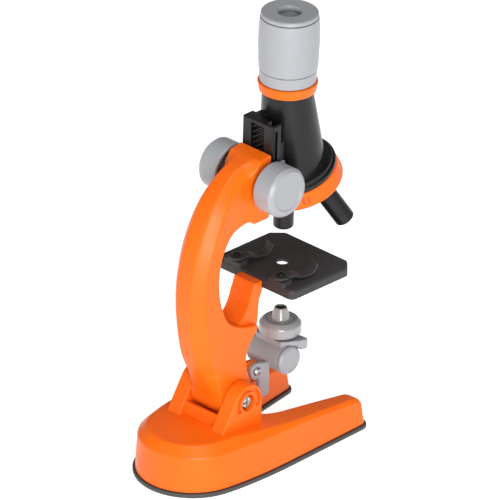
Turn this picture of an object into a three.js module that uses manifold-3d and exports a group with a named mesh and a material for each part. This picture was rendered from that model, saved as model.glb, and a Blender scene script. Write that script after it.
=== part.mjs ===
// A student microscope on a hollow horseshoe base: tilting arm, rack-and-pinion focus,
// three-objective turret, push-fit eyepiece, stage with spring clips and a battery lamp.
// Millimetres, +Z up, +Y from the arm towards the two prongs, +X to the right of the user.
// The origin is the middle of the base's underside.
import * as THREE from "three";
import { mergeVertices } from "three/addons/utils/BufferGeometryUtils.js";
import Module from "manifold-3d";

const wasm = await Module();
wasm.setup();

// ---- Driving dimensions (mm, degrees) ----
const GAP = 0.3; // clearance between pieces that touch or turn in each other

// Base
const HEEL = { y: -30, radius: 28.9 };
const BASE_HALF_WIDTH = 32;
const TIP_Y = 59;
const PLATE_THICKNESS = 2.2;
const PLATE_LIP = 1.2; // the bottom plate stands out past the shell
const SHELL_WALL = 2;
const HEEL_HEIGHT = 25;
const BASE_SCREWS = { base_screw_rear: [0, -44], base_screw_left: [-25, 36], base_screw_right: [25, 36] };

// Tilt hinge, and the lean of everything above it
const HINGE = { y: -11, z: 35.4 };
const LEAN = 2.2;
const EAR = { inner: 10.5, outer: 18.5, radius: 9.2, front: -1.8, back: -31, counterbore: 4.25 };
const FOOT_RADIUS = 10.3;
const BOLT_RADIUS = 2;

// Arm
const ARM_HALF_WIDTH = 10;
const ARM_FLAT = 4.65; // half width of the flat along the back
const HEAD_FRONT = 8.8;
const HEAD_TOP = 157.6;

// Focus drive
const PINION = { y: 6.1, z: 143.1, teeth: 10, module: 0.9, width: 8, helix: 35 };
const TOOTH = { addendum: 0.7, dedendum: 1, thickness: 1.2, flank: 20 };
const SHAFT_RADIUS = 1.5;
const KNOB = { inner: 12.6, outer: 24.5, radius: 12.5, hub: 12.1 };
const RACK = { bottom: 134.2, top: 169.8, back: 12.6 };
const BLOCK = { half: 10, back: 9.1, front: 15.4, top: 171.8 };
const TONGUE = { tip: 6.3, back: 11.1, front: 12.3 };

// Optics: the tube axis, and the turret tilted from it
const AXIS_Y = 29;
const TUBE_TOP = { z: 182, radius: 12.2 };
const TUBE_FOOT_RADIUS = 16.2;
const TURRET = { y: 37.6, z: 130.8, tilt: 20, radius: 22.6, height: 8, plate: 2.6 };
const DETENT = { offset: 14, radius: 1.2, clearance: 0.1 }; // the ball is drawn as it rolls over the plate
const OBJECTIVE = { offset: 9.15, radius: 5, neck: 3, bore: 2, lens: 2.1 };
const OBJECTIVES = { objective_mid: [-90, 18.5], objective_high: [30, 27.5], objective_low: [150, 12.6] };
const EYEPIECE = { bottom: 184, shoulder: 193.7, top: 220.8 };

// Stage
const STAGE = { half: 26, back: 8.8, front: 52.8, bottom: 85.6, top: 90.3, hole: 3, recess: 9.6, skin: 1.5 };
const CLIP = { x: 14.5, y: 12.8, z: 92.8, yaw: -15, length: 18, width: 6, thickness: 1.2 };

// Lamp
const LAMP_PIVOT = { y: 9.2, z: 39.8 };
const BARREL = { y: 24.1, z: 43.15, radius: 7.25, bore: 6.2, left: -11, right: 9.5 };
const DRUM = { radius: 10.3, bottom: 53, top: 60.3 };
const CELL = { radius: 5.7, thickness: 5.2, pitch: 5.5, first: -8.5 };

// ---- Materials ----
const finish = (color, roughness, metalness = 0) => {
  return new THREE.MeshStandardMaterial({ color, roughness, metalness });
};
const ORANGE = finish(0xff7628, 0.3);
const BLACK = finish(0x2c2c2e, 0.35);
const STAGE_BLACK = finish(0x444446, 0.4);
const GREY = finish(0xc4c6ca, 0.35);
const LAMP_GREY = finish(0x8f9092, 0.35);
const PLATE_GREY = finish(0x4b4a48, 0.6);
const STEEL = finish(0xb9bcc0, 0.25, 1);
const GLASS = finish(0xdfe8ee, 0.05);

// ---- Solids ----
// A three.js geometry as a manifold-3d solid, with its faces turned out.
function solid(geometry) {
  const bare = new THREE.BufferGeometry();
  const corners = geometry.index ? geometry.toNonIndexed() : geometry;
  bare.setAttribute("position", corners.getAttribute("position").clone());
  const merged = mergeVertices(bare, 1e-4);
  const index = merged.index.array;
  const faces = [];
  for (let i = 0; i < index.length; i += 3) {
    const [a, b, c] = index.slice(i, i + 3);
    if (a !== b && b !== c && c !== a) faces.push(a, b, c);
  }
  const vertProperties = merged.attributes.position.array;
  const build = (triVerts) => new wasm.Manifold(new wasm.Mesh({ numProp: 3, vertProperties, triVerts }));
  const made = build(new Uint32Array(faces));
  return made.volume() > 0 ? made : build(new Uint32Array(faces.reverse()));
}

// A solid as a three.js geometry.
function geometryOf(made) {
  const { vertProperties, triVerts } = made.getMesh();
  const geometry = new THREE.BufferGeometry();
  geometry.setAttribute("position", new THREE.BufferAttribute(new Float32Array(vertProperties), 3));
  geometry.setIndex(new THREE.BufferAttribute(new Uint32Array(triVerts), 1));
  return geometry;
}

const join = (first, ...rest) => rest.reduce((whole, piece) => whole.add(piece), first);
const cut = (first, ...rest) => rest.reduce((whole, piece) => whole.subtract(piece), first);
const radians = THREE.MathUtils.degToRad;
const point = (x, y) => new THREE.Vector2(x, y);

// Axis permutations: a shape drawn in XY and extruded along Z, turned to lie along X or Y.
const ALONG_X = new THREE.Matrix4().makeBasis(
  new THREE.Vector3(0, 1, 0),
  new THREE.Vector3(0, 0, 1),
  new THREE.Vector3(1, 0, 0),
);
const TURN_Z = new THREE.Matrix4().makeRotationX(Math.PI / 2); // a lathe's axis from Y to Z
const TURN_X = new THREE.Matrix4().makeRotationZ(-Math.PI / 2); // a lathe's axis from Y to X

function box(x0, x1, y0, y1, z0, z1) {
  const made = new THREE.BoxGeometry(x1 - x0, y1 - y0, z1 - z0);
  return solid(made.translate((x0 + x1) / 2, (y0 + y1) / 2, (z0 + z1) / 2));
}

// Round bars along each axis.
function rodZ(radius, z0, z1, x = 0, y = 0, sides = 16) {
  const made = new THREE.CylinderGeometry(radius, radius, z1 - z0, sides);
  return solid(made.rotateX(Math.PI / 2).translate(x, y, (z0 + z1) / 2));
}

function rodX(radius, x0, x1, y, z, sides = 20) {
  const made = new THREE.CylinderGeometry(radius, radius, x1 - x0, sides);
  return solid(made.rotateZ(Math.PI / 2).translate((x0 + x1) / 2, y, z));
}

// Profiles of [radius, height] turned about Z, or about X at (y, z).
function turnedZ(profile, x = 0, y = 0, sides = 24) {
  const made = new THREE.LatheGeometry(profile.map(([r, h]) => point(r, h)), sides);
  return solid(made.applyMatrix4(TURN_Z).translate(x, y, 0));
}

function turnedX(profile, y, z, sides = 24) {
  const made = new THREE.LatheGeometry(profile.map(([r, h]) => point(r, h)), sides);
  return solid(made.applyMatrix4(TURN_X).translate(0, y, z));
}

// Outlines of [y, z] extruded along X, and of [x, y] along Z.
function slabX(outline, x0, x1) {
  const shape = new THREE.Shape(outline.map(([y, z]) => point(y, z)));
  const made = new THREE.ExtrudeGeometry(shape, { depth: x1 - x0, bevelEnabled: false });
  return solid(made.applyMatrix4(ALONG_X).translate(x0, 0, 0));
}

function slabZ(outline, z0, z1) {
  const shape = new THREE.Shape(outline.map(([x, y]) => point(x, y)));
  const made = new THREE.ExtrudeGeometry(shape, { depth: z1 - z0, bevelEnabled: false });
  return solid(made.translate(0, 0, z0));
}

// Points [a, b] on an arc and on a smooth curve.
function arc(a, b, radius, from, to, steps) {
  return Array.from({ length: steps + 1 }, (_, k) => {
    const angle = radians(from + ((to - from) * k) / steps);
    return [a + radius * Math.cos(angle), b + radius * Math.sin(angle)];
  });
}

function smooth(points, steps) {
  const curve = new THREE.SplineCurve(points.map(([a, b]) => point(a, b)));
  return curve.getPoints(steps).map((p) => [p.x, p.y]);
}

function bend(start, control, end, steps) {
  const curve = new THREE.QuadraticBezierCurve(point(...start), point(...control), point(...end));
  return curve.getPoints(steps).map((p) => [p.x, p.y]);
}

// A closed counter-clockwise outline moved inwards by a distance, or by one per point.
function inset(outline, distance) {
  const count = outline.length;
  const normal = (k) => {
    const [a, b] = [outline[k % count], outline[(k + 1) % count]];
    const length = Math.hypot(b[0] - a[0], b[1] - a[1]) || 1;
    return [-(b[1] - a[1]) / length, (b[0] - a[0]) / length];
  };
  return outline.map(([x, y], k) => {
    const [before, after] = [normal(k + count - 1), normal(k)];
    const by = typeof distance === "number" ? distance : distance[k];
    const scale = by / Math.max(0.3, 1 + before[0] * after[0] + before[1] * after[1]);
    return [x + (before[0] + after[0]) * scale, y + (before[1] + after[1]) * scale];
  });
}

// A solid through rings of the same number of points. flat(v) gives a point's place on the caps' plane,
// in which the rings run counter-clockwise, and they follow each other along that plane's normal.
function loft(rings, flat) {
  const count = rings[0].length;
  const corners = rings.flat();
  const faces = [];
  for (let ring = 0; ring + 1 < rings.length; ring += 1) {
    for (let k = 0; k < count; k += 1) {
      const [a, b] = [ring * count + k, ring * count + ((k + 1) % count)];
      faces.push(a, b, b + count, a, b + count, a + count);
    }
  }
  const top = (rings.length - 1) * count;
  // The triangulation skips points on a straight edge, so it sees every edge slightly bowed.
  const bowed = ({ x, y }) => point(x + 1e-4 * y * y, y + 1e-4 * x * x);
  const caps = (ring) => THREE.ShapeUtils.triangulateShape(ring.map((v) => bowed(flat(v))), []);
  for (const [a, b, c] of caps(rings[0])) faces.push(c, b, a);
  for (const [a, b, c] of caps(rings[rings.length - 1])) faces.push(top + a, top + b, top + c);
  const geometry = new THREE.BufferGeometry();
  const numbers = new Float32Array(corners.flatMap((v) => [v.x, v.y, v.z]));
  geometry.setAttribute("position", new THREE.BufferAttribute(numbers, 3));
  geometry.setIndex(faces);
  return solid(geometry);
}

const onPlan = (v) => point(v.x, v.y);
const onSide = (v) => point(v.y, v.z);

// ---- Fasteners and springs ----
// A pan-head screw with a cross recess, its head resting at height 0 and its shank going down.
function screw(headRadius, headHeight, shankRadius, length) {
  const outside = turnedZ([[0, -length], [shankRadius, -length + 1.2], [shankRadius, 0], [headRadius, 0],
    [headRadius, headHeight * 0.5], [headRadius * 0.6, headHeight], [0, headHeight]], 0, 0, 10);
  const [wide, thin, deep] = [headRadius * 0.52, headRadius * 0.15, headHeight * 0.5];
  const bars = [[wide, thin], [thin, wide]];
  return cut(outside, ...bars.map(([x, y]) => box(-x, x, -y, y, deep, headHeight + 1)));
}

// A coil spring along Z, as a wire of five-sided section.
function spring(radius, wire, z0, z1, turns) {
  class Helix extends THREE.Curve {
    getPoint(t, target = new THREE.Vector3()) {
      const angle = t * turns * 2 * Math.PI;
      return target.set(radius * Math.cos(angle), radius * Math.sin(angle), z0 + (z1 - z0) * t);
    }
  }
  const section = new THREE.Shape(arc(0, 0, wire, 0, 288, 4).map(([x, y]) => point(x, y)));
  const steps = turns * 8;
  return solid(new THREE.ExtrudeGeometry(section, { steps, extrudePath: new Helix() }));
}

// ---- Scene graph ----
const microscope = new THREE.Group();

// Everything above the hinge leans forward about it.
const hinge = new THREE.Group();
hinge.position.set(0, HINGE.y, HINGE.z);
hinge.rotation.x = -radians(LEAN);
const upper = new THREE.Group();
upper.position.set(0, -HINGE.y, -HINGE.z);
hinge.add(upper);
microscope.add(hinge);

// The turret's frame: its axis is Z, and its lower face is at height 0.
const turret = new THREE.Group();
turret.position.set(0, TURRET.y, TURRET.z);
turret.rotation.x = radians(TURRET.tilt);
upper.add(turret);

function add(group, name, made, material, position = [0, 0, 0], rotation = [0, 0, 0]) {
  const mesh = new THREE.Mesh(geometryOf(made), material);
  mesh.name = name;
  mesh.position.set(...position);
  mesh.rotation.set(...rotation);
  group.add(mesh);
}

// ---- Base ----
// The horseshoe's outline, counter-clockwise from the back of the heel.
function baseOutline() {
  const side = arc(0, HEEL.y, HEEL.radius, -90, -12, 7);
  const flare = bend(side[side.length - 1], [BASE_HALF_WIDTH, -18.5], [BASE_HALF_WIDTH, 7], 4).slice(1);
  const outerTip = arc(BASE_HALF_WIDTH - 5, TIP_Y - 5, 5, 0, 90, 4);
  const innerTip = arc(17.8 + 4.8, TIP_Y - 4.8, 4.8, 90, 180, 4);
  const crotch = bend([12.8, 17], [11.2, 3], [0, 3], 5);
  const straight = [1, 2, 3].map((k) => [BASE_HALF_WIDTH, 7 + k * 13]);
  const slope = [1, 2, 3].map((k) => [17.8 - (5 * k) / 4, 54.2 - (37.2 * k) / 4]);
  const right = [...side, ...flare, ...straight, ...outerTip, ...innerTip, ...slope, ...crotch];
  const left = right.slice(1, -1).reverse().map(([x, y]) => [-x, y]);
  return [...right, ...left];
}

// Height of the base's top along Y: flat heel, falling prongs, round tips.
const TOP_LINE = [[-70, HEEL_HEIGHT], [-24, HEEL_HEIGHT], [-11, 23.2], [13, 20.6], [34, 18.6], [49, 16.9]];
const TIP_CURVE = { y: 49, z: 6.9, radius: 10 };

function topHeight(y) {
  const k = TOP_LINE.findIndex(([at]) => at > y) - 1;
  const [[y0, z0], [y1, z1]] = [TOP_LINE[k], TOP_LINE[k + 1]];
  return z0 + ((z1 - z0) * (y - y0)) / (y1 - y0);
}

// The shell's outer skin, or the cavity a wall inside it: drafted sides with a chamfered shoulder that is
// wide on the heel and fades along the prongs, under a top that falls towards the tips.
function baseForm({ wall, bottom, draft }) {
  const rim = baseOutline();
  const shoulders = rim.map(([, y]) => {
    const along = THREE.MathUtils.clamp(y, -30, 15);
    return THREE.MathUtils.mapLinear(along, -30, 15, 4.2, 0);
  });
  const layer = (z, slope, chamfer) => {
    const moved = inset(rim, shoulders.map((shoulder) => PLATE_LIP + wall + slope + chamfer * shoulder));
    return moved.map(([x, y]) => new THREE.Vector3(x, y, z));
  };
  const top = HEEL_HEIGHT - wall;
  const prism = loft([layer(bottom, 0, 0), layer(top - 4.8, draft, 0), layer(top, draft, 1)], onPlan);
  const tip = arc(TIP_CURVE.y, TIP_CURVE.z, TIP_CURVE.radius - wall, 0, 84, 6);
  const under = TOP_LINE.map(([y, z]) => [y, z - wall]).reverse();
  const side = [[-70, -5], [TIP_CURVE.y + TIP_CURVE.radius - wall, -5], ...tip, ...under];
  return prism.intersect(slabX(side, -40, 40));
}

const baseSkin = () => baseForm({ wall: 0, bottom: PLATE_THICKNESS + GAP, draft: 1.2 });
const baseCavity = () => baseForm({ wall: SHELL_WALL, bottom: PLATE_THICKNESS - 1, draft: 0.4 });

function earOutline() {
  const arch = arc(HINGE.y, HINGE.z, EAR.radius, 0, 147, 8);
  return [[EAR.front, 19], ...arch, [EAR.back, 22], [EAR.back, 19]];
}

function makeBase() {
  const cavity = baseCavity();
  let shell = cut(baseSkin(), cavity);
  for (const [x, y] of Object.values(BASE_SCREWS)) {
    shell = join(shell, rodZ(3, PLATE_THICKNESS + GAP, topHeight(y) - 1, x, y, 12));
  }
  for (const side of [-1, 1]) {
    const [x0, x1] = side > 0 ? [EAR.inner, EAR.outer] : [-EAR.outer, -EAR.inner];
    const face = side * EAR.outer;
    const sink = (radius, depth) => {
      const [a, b] = [face - side * depth, face + side];
      return rodX(radius, Math.min(a, b), Math.max(a, b), HINGE.y, HINGE.z, 24);
    };
    const ear = cut(slabX(earOutline(), x0, x1), cavity);
    const crescent = cut(sink(7.9, 1.3), sink(5.7, 2), box(-30, 30, -40, 10, 0, HINGE.z - 3.5));
    const bore = rodX(BOLT_RADIUS + GAP, x0 - 1, x1 + 1, HINGE.y, HINGE.z, 16);
    shell = cut(join(shell, ear), crescent, sink(EAR.counterbore, 4), bore);
  }
  const stop = box(-EAR.inner - 1, EAR.inner + 1, -24.6, -22.6, 22.8, 30.6);
  shell = join(shell, stop);
  for (const [x, y] of Object.values(BASE_SCREWS)) {
    shell = cut(shell, rodZ(1.25, 0, 14, x, y, 8));
  }
  add(microscope, "base_shell", shell, ORANGE);

  const rim = baseOutline();
  const layer = (z, by) => inset(rim, by).map(([x, y]) => new THREE.Vector3(x, y, z));
  let plate = loft([layer(0, 0), layer(1.8, 0), layer(PLATE_THICKNESS, 0.4)], onPlan);
  for (const [x, y] of Object.values(BASE_SCREWS)) {
    plate = cut(plate, rodZ(2.8, -1, 1.3, x, y, 16), rodZ(1.25, -1, 3, x, y, 8));
  }
  add(microscope, "base_plate", plate, PLATE_GREY);
  for (const [name, [x, y]] of Object.entries(BASE_SCREWS)) {
    add(microscope, name, screw(2.4, 0.9, 0.95, 9), STEEL, [x, y, 1], [Math.PI, 0, 0]);
  }
}

function makeTiltBolt() {
  const head = cut(
    turnedX([[0, 14.8], [3.7, 14.8], [3.7, 16.4], [2.6, 17.3], [0, 17.3]], HINGE.y, HINGE.z, 20),
    box(16.5, 18, HINGE.y - 2.6, HINGE.y + 2.6, HINGE.z - 0.45, HINGE.z + 0.45),
    box(16.5, 18, HINGE.y - 0.45, HINGE.y + 0.45, HINGE.z - 2.6, HINGE.z + 2.6),
  );
  add(microscope, "tilt_bolt", join(head, rodX(BOLT_RADIUS, -17, 15, HINGE.y, HINGE.z, 20)), STEEL);
  const nut = cut(
    rodX(3.8, -17.6, -14.8, HINGE.y, HINGE.z, 6),
    rodX(BOLT_RADIUS + GAP, -19, -14, HINGE.y, HINGE.z, 20),
  );
  add(microscope, "tilt_nut", nut, STEEL);
}

// ---- Arm ----
// Side outline of the arm, counter-clockwise in [y, z], with how much of the back chamfer each point takes.
function armOutline() {
  const foot = arc(HINGE.y, HINGE.z, FOOT_RADIUS, 180, 350, 9);
  const front = smooth([[-1.2, 41], [-3.6, 48], [-4.4, 54], [-2.6, 60], [1.4, 64.6], [4.1, 68.6]], 9);
  const crotch = smooth([[-5.2, 70.6], [-13.3, 74], [-18.6, 79.1], [-22.4, 88], [-24.2, 97], [-24.1, 107],
    [-22.2, 114.2], [-19, 119.6], [-14.6, 123.2], [-9.4, 124.8], [-4, 125.7]], 16);
  const head = [[-1.3, 124], [HEAD_FRONT, 124.2], [HEAD_FRONT, HEAD_TOP], [1.4, 156.4]];
  const back = smooth([[-11.5, 151.6], [-23.8, 140.6], [-32.6, 124.5], [-37.9, 106], [-38.8, 86],
    [-34.6, 62.4], [-27, 47.2]], 18);
  const plain = [...foot, ...front, ...crotch, ...head].map((p) => [p, 0]);
  const chamfered = back.map((p, k) => [p, k < back.length - 1 ? 5.3 : 4]);
  return [...plain.slice(0, -1), [head[3], 3.2], ...chamfered, [[-22.4, 39.2], 1.2]];
}

// The column that carries the stage, rising in front of the arm.
function makeStalk() {
  const hollow = smooth([[-8, 70.5], [-3.4, 74.6], [-0.6, 79.6], [0.8, 83.8]], 6).reverse();
  const column = slabX([[-8, 63], [1, 63], [5.8, 68], [6.2, 72], [6.6, 83.8], ...hollow], -7.4, 7.4);
  const tongue = slabX([[0, 80], [6.6, 80], [8.4, 83.5], [8.4, 89.8], [3.2, 89.8], [1.4, 85.4]], -6.1, 6.1);
  const shelf = box(-3, 3, 6, 13.4, 82.4, STAGE.bottom - GAP);
  return join(column, tongue, shelf);
}

function makeArm() {
  const outline = armOutline();
  const flat = outline.map(([p]) => p);
  const layer = (x, share) => inset(flat, outline.map(([, chamfer]) => chamfer * share))
    .map(([y, z]) => new THREE.Vector3(x, y, z));
  const body = loft([layer(-ARM_HALF_WIDTH, 1), layer(-ARM_FLAT, 0), layer(ARM_FLAT, 0),
    layer(ARM_HALF_WIDTH, 1)], onSide);
  const rib = slabX([[-7, 34], [LAMP_PIVOT.y + 1, 34.8], ...arc(LAMP_PIVOT.y, LAMP_PIVOT.z, 4.4, -60, 90, 6),
    [-7, 45.4]], -1.4, 1.4);
  const slot = join(
    rodX(PINION.teeth * PINION.module * 0.5 + TOOTH.addendum + 0.9, -4.6, 4.6, PINION.y, PINION.z, 24),
    box(-4.6, 4.6, PINION.y, HEAD_FRONT + 1, PINION.z - 6, PINION.z + 6),
  );
  const shaftHole = rodX(SHAFT_RADIUS + GAP, -12, 12, PINION.y, PINION.z, 20);
  const hingeHole = rodX(BOLT_RADIUS + GAP, -12, 12, HINGE.y, HINGE.z, 20);
  const stageHole = rodZ(1.35, 75, 90, 0, 10.6, 14);
  const lampHole = rodX(1.1, -3, 3, LAMP_PIVOT.y, LAMP_PIVOT.z, 14);
  const guideHoles = guideScrews().map(([y, z]) => rodX(1.1, -12, 12, y, z, 12));
  add(upper, "arm", cut(join(body, rib, makeStalk()), slot, shaftHole, hingeHole, stageHole, lampHole,
    ...guideHoles), ORANGE);
}

// ---- Focus drive ----
const PITCH_RADIUS = (PINION.teeth * PINION.module) / 2;
const RACK_PITCH = Math.PI * PINION.module;
const HELIX_RISE = Math.tan(radians(PINION.helix));
const flankAt = (depth) => TOOTH.thickness / 2 + depth * Math.tan(radians(TOOTH.flank));

function makePinion() {
  const rootRadius = PITCH_RADIUS - TOOTH.dedendum;
  const tipRadius = PITCH_RADIUS + TOOTH.addendum;
  const ring = (x) => {
    const points = [];
    for (let tooth = 0; tooth < PINION.teeth; tooth += 1) {
      const middle = (tooth * 2 * Math.PI) / PINION.teeth + (x * HELIX_RISE) / PITCH_RADIUS;
      const root = flankAt(TOOTH.dedendum) / PITCH_RADIUS;
      const tip = flankAt(-TOOTH.addendum) / PITCH_RADIUS;
      const corners = [[rootRadius, -root], [tipRadius, -tip], [tipRadius, tip], [rootRadius, root]];
      for (const [r, angle] of corners) {
        points.push(new THREE.Vector3(x, r * Math.cos(middle + angle), r * Math.sin(middle + angle)));
      }
    }
    return points;
  };
  const teeth = loft([-0.5, 0, 0.5].map((share) => ring(share * PINION.width)), onSide);
  const gear = cut(teeth, rodX(SHAFT_RADIUS + GAP, -6, 6, 0, 0, 20));
  add(upper, "pinion_gear", gear, BLACK, [0, PINION.y, PINION.z]);
  const shaft = turnedX([[0, -21.1], [1.1, -21.1], [SHAFT_RADIUS, -20.7], [SHAFT_RADIUS, 20.7], [1.1, 21.1],
    [0, 21.1]], PINION.y, PINION.z, 20);
  add(upper, "pinion_shaft", shaft, STEEL);
}

function makeRack() {
  const pitchLine = PINION.y + PITCH_RADIUS;
  const [tip, root] = [pitchLine - TOOTH.addendum, pitchLine + TOOTH.dedendum];
  const outline = [[RACK.back, RACK.bottom - 8], [RACK.back, RACK.top + 8]];
  const first = Math.ceil((RACK.top + 7 - PINION.z) / RACK_PITCH);
  const last = Math.floor((RACK.bottom - 7 - PINION.z) / RACK_PITCH);
  for (let k = first; k > last; k -= 1) {
    const z = PINION.z + (k - 0.5) * RACK_PITCH;
    outline.push([root, z + flankAt(TOOTH.dedendum)], [tip, z + flankAt(-TOOTH.addendum)]);
    outline.push([tip, z - flankAt(-TOOTH.addendum)], [root, z - flankAt(TOOTH.dedendum)]);
  }
  const shape = new THREE.Shape(outline.map(([y, z]) => point(y, z)));
  const made = new THREE.ExtrudeGeometry(shape, { depth: PINION.width, bevelEnabled: false });
  made.applyMatrix4(ALONG_X).translate(-PINION.width / 2, 0, 0);
  made.applyMatrix4(new THREE.Matrix4().makeShear(0, HELIX_RISE, 0, 0, 0, 0));
  const half = PINION.width / 2;
  const strip = solid(made).intersect(box(-half, half, 5, 20, RACK.bottom, RACK.top - GAP));
  add(upper, "focus_rack", strip, BLACK);
}

// Where the guides are screwed to the head, as [y, z].
const guideScrews = () => [[2.4, 149.2], [2.4, 137]];

function makeGuides() {
  for (const [side, name] of [[-1, "left"], [1, "right"]]) {
    const span = (a, b) => [Math.min(side * a, side * b), Math.max(side * a, side * b)];
    const cheek = slabX([[0.4, 134], [14.3, 134], [15.2, 147.6], [16.2, 152.6], [12, 152], [2.4, 151.6],
      [0.4, 149.6]], ...span(ARM_HALF_WIDTH + GAP, 11.8));
    const tongue = box(...span(TONGUE.tip, 10.8), TONGUE.back, TONGUE.front, 134, 151.6);
    let guide = cut(join(cheek, tongue), rodX(SHAFT_RADIUS + GAP, -13, 13, PINION.y, PINION.z, 20));
    for (const [y, z] of guideScrews()) guide = cut(guide, rodX(1.1, -13, 13, y, z, 12));
    add(upper, `focus_guide_${name}`, guide, GREY);
    guideScrews().forEach(([y, z], k) => {
      const place = [side * (11.8 + GAP), y, z];
      const turn = [0, (side * Math.PI) / 2, 0];
      add(upper, `guide_screw_${name}_${k + 1}`, screw(1.9, 1.1, 0.8, 7), STEEL, place, turn);
    });
  }
}

function makeKnobs() {
  const { inner, outer, radius, hub } = KNOB;
  const bore = SHAFT_RADIUS + GAP;
  const wall = radius - 1.8;
  const profile = [[0, 21.5], [bore, 21.5], [bore, hub], [4.2, hub], [4.2, 20.3], [wall, 20.3], [wall, inner],
    [radius - 0.4, inner], [radius, inner + 0.5], [radius, outer - 1.8], [radius - 0.5, outer - 0.9],
    [radius - 1.6, outer - 0.2], [radius - 2.4, outer], [radius - 3.7, outer], [radius - 4, outer - 0.5],
    [0, outer - 0.5]];
  for (const [side, name] of [[-1, "left"], [1, "right"]]) {
    const made = turnedX(profile.map(([r, x]) => [r, side * x]), PINION.y, PINION.z);
    add(upper, `focus_knob_${name}`, made, GREY);
  }
}

// ---- Tube ----
// The tube's skin: a cone from the tilted nosepiece up to the level top, moved in by a wall.
function tubeSkin(wall, overrun) {
  const foot = new THREE.Matrix4().makeRotationX(radians(TURRET.tilt));
  foot.setPosition(0, TURRET.y, TURRET.z);
  const ring = (radius, place) => arc(0, 0, radius, 0, 348, 29).map(([x, y]) => place(x, y));
  const sole = 12.8 - overrun;
  const low = ring(TUBE_FOOT_RADIUS - wall, (x, y) => new THREE.Vector3(x, y, sole).applyMatrix4(foot));
  const high = ring(TUBE_TOP.radius - wall, (x, y) => new THREE.Vector3(x, y + AXIS_Y, TUBE_TOP.z + overrun));
  return loft([low, high], onPlan);
}

function makeTube() {
  const { half, back, front, top } = BLOCK;
  const block = join(
    slabX([[back, RACK.bottom], [13.2, RACK.bottom], [front, 138], [front, top], [back, top]], -half, half),
    slabX([[front - 1, 139], [20.5, 140], [21.5, top], [front - 1, top]], -7.5, 7.5),
  );
  const slot = box(-4.3, 4.3, back - 1, RACK.back + GAP, RACK.bottom - 1, RACK.top);
  const grooves = [-1, 1].map((side) => {
    const [a, b] = [side * (TONGUE.tip - GAP), side * (half + 1)];
    return box(Math.min(a, b), Math.max(a, b), TONGUE.back - GAP, TONGUE.front + GAP, 120, top - 3);
  });
  const pocket = join(box(-1.5, 8.6, 14, 22, 160, top + 1), box(4.6, 8.6, 10.4, 15, 166, top + 1));
  const outside = tubeSkin(0, 0);
  const body = join(cut(block, slot, pocket, ...grooves), outside);
  add(upper, "body_tube", cut(body, tubeSkin(2, 0.6)), BLACK);
}

function makeEyepiece() {
  const y = AXIS_Y;
  const collar = [[8.2, 176], [9.8, 176], [9.8, 182.3], [13.9, 182.3], [14.1, 182.6], [14.6, 187],
    [14.4, 187.3], [11.3, 187.3], [11.3, 183.6], [8.2, 183.6], [8.2, 176]];
  add(upper, "eyepiece_collar", turnedZ(collar, 0, y), ORANGE);
  const sleeve = [[11.3, 187.6], [13.6, 187.6], [13.8, 188], [13.9, 193.1], [13.6, 193.4], [11.3, 193.4],
    [11.3, 187.6]];
  add(upper, "eyepiece_sleeve", turnedZ(sleeve, 0, y), GREY);
  const { bottom, shoulder, top } = EYEPIECE;
  const barrel = [[9.2, bottom], [11, bottom], [11, shoulder], [14, shoulder], [14.3, 194.2], [14.7, 204],
    [14.6, 216], [14.2, top], [12.2, top], [12.2, 218.6], [9.2, 218.6], [9.2, bottom]];
  add(upper, "eyepiece_barrel", turnedZ(barrel, 0, y), GREY);
  const cap = [[6.2, 216.4], [8.9, 216.4], [8.9, 218.9], [11.9, 218.9], [11.9, 221.2], [13.8, 221.2],
    [14.1, 221.6], [13.9, 222.6], [13, 223.3], [6.9, 223.3], [6.7, 221.5], [6.2, 221.3], [6.2, 216.4]];
  add(upper, "eyepiece_cap", turnedZ(cap, 0, y), GREY);
  const eyeLens = [[0, 217], [5.9, 217.6], [5.9, 219.6], [0, 220.4]];
  add(upper, "eye_lens", turnedZ(eyeLens, 0, y, 20), GLASS);
  const fieldLens = [[0, 185.2], [8.9, 186.4], [8.9, 187.4], [0, 187.4]];
  add(upper, "field_lens", turnedZ(fieldLens, 0, y, 20), GLASS);
}

// ---- Nosepiece and turret, in the turret's frame ----
const TUBE_SLOPE = Math.tan(radians(TURRET.tilt));

// The tube axis crosses the turret's frame at this y for a height.
const axisAt = (height) => -OBJECTIVE.offset + height * TUBE_SLOPE;

// A round bar along the tube axis, placed in the turret's frame.
function axialRod(radius, from, to) {
  const made = new THREE.CylinderGeometry(radius, radius, to - from, 24);
  made.rotateX(Math.PI / 2).translate(0, 0, (from + to) / 2);
  return solid(made.rotateX(-radians(TURRET.tilt)).translate(0, axisAt(0), 0));
}

function makeNosepiece() {
  const disc = turnedZ([[0, 8.3], [20.6, 8.3], [21, 8.7], [21, 10], [20.6, 10.4], [19.8, 10.4], [19.8, 12.1],
    [19.4, 12.5], [0, 12.5]], 0, 0, 30);
  const boss = rodZ(3.6, 3.2, 9, 0, 0, 16);
  const detent = rodZ(2.7, 3.4, 9, 0, DETENT.offset, 16);
  const springHole = rodZ(1.55, 2, 10.4, 0, DETENT.offset, 16);
  const made = cut(join(disc, boss, detent), rodZ(1.6, 2, 11.8, 0, 0, 16), springHole, axialRod(4, 2, 20));
  add(turret, "nosepiece_plate", made, BLACK);
  add(turret, "detent_spring", spring(0.9, 0.22, 5.2, 9.9, 3), STEEL, [0, DETENT.offset, 0]);
  const ball = solid(new THREE.SphereGeometry(DETENT.radius, 10, 6));
  const ballHeight = TURRET.plate + DETENT.radius + DETENT.clearance;
  add(turret, "detent_ball", ball, STEEL, [0, DETENT.offset, ballHeight]);
  const pivot = turnedZ([[0, -2], [2.6, -2], [3.2, -1.5], [3.2, -GAP], [1.8, -GAP], [1.8, 2.9], [1.25, 2.9],
    [1.25, 11.2], [0, 11.2]], 0, 0, 20);
  add(turret, "turret_pivot", cut(pivot, box(-2.4, 2.4, -0.4, 0.4, -3, -1.2)), STEEL);
}

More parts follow.
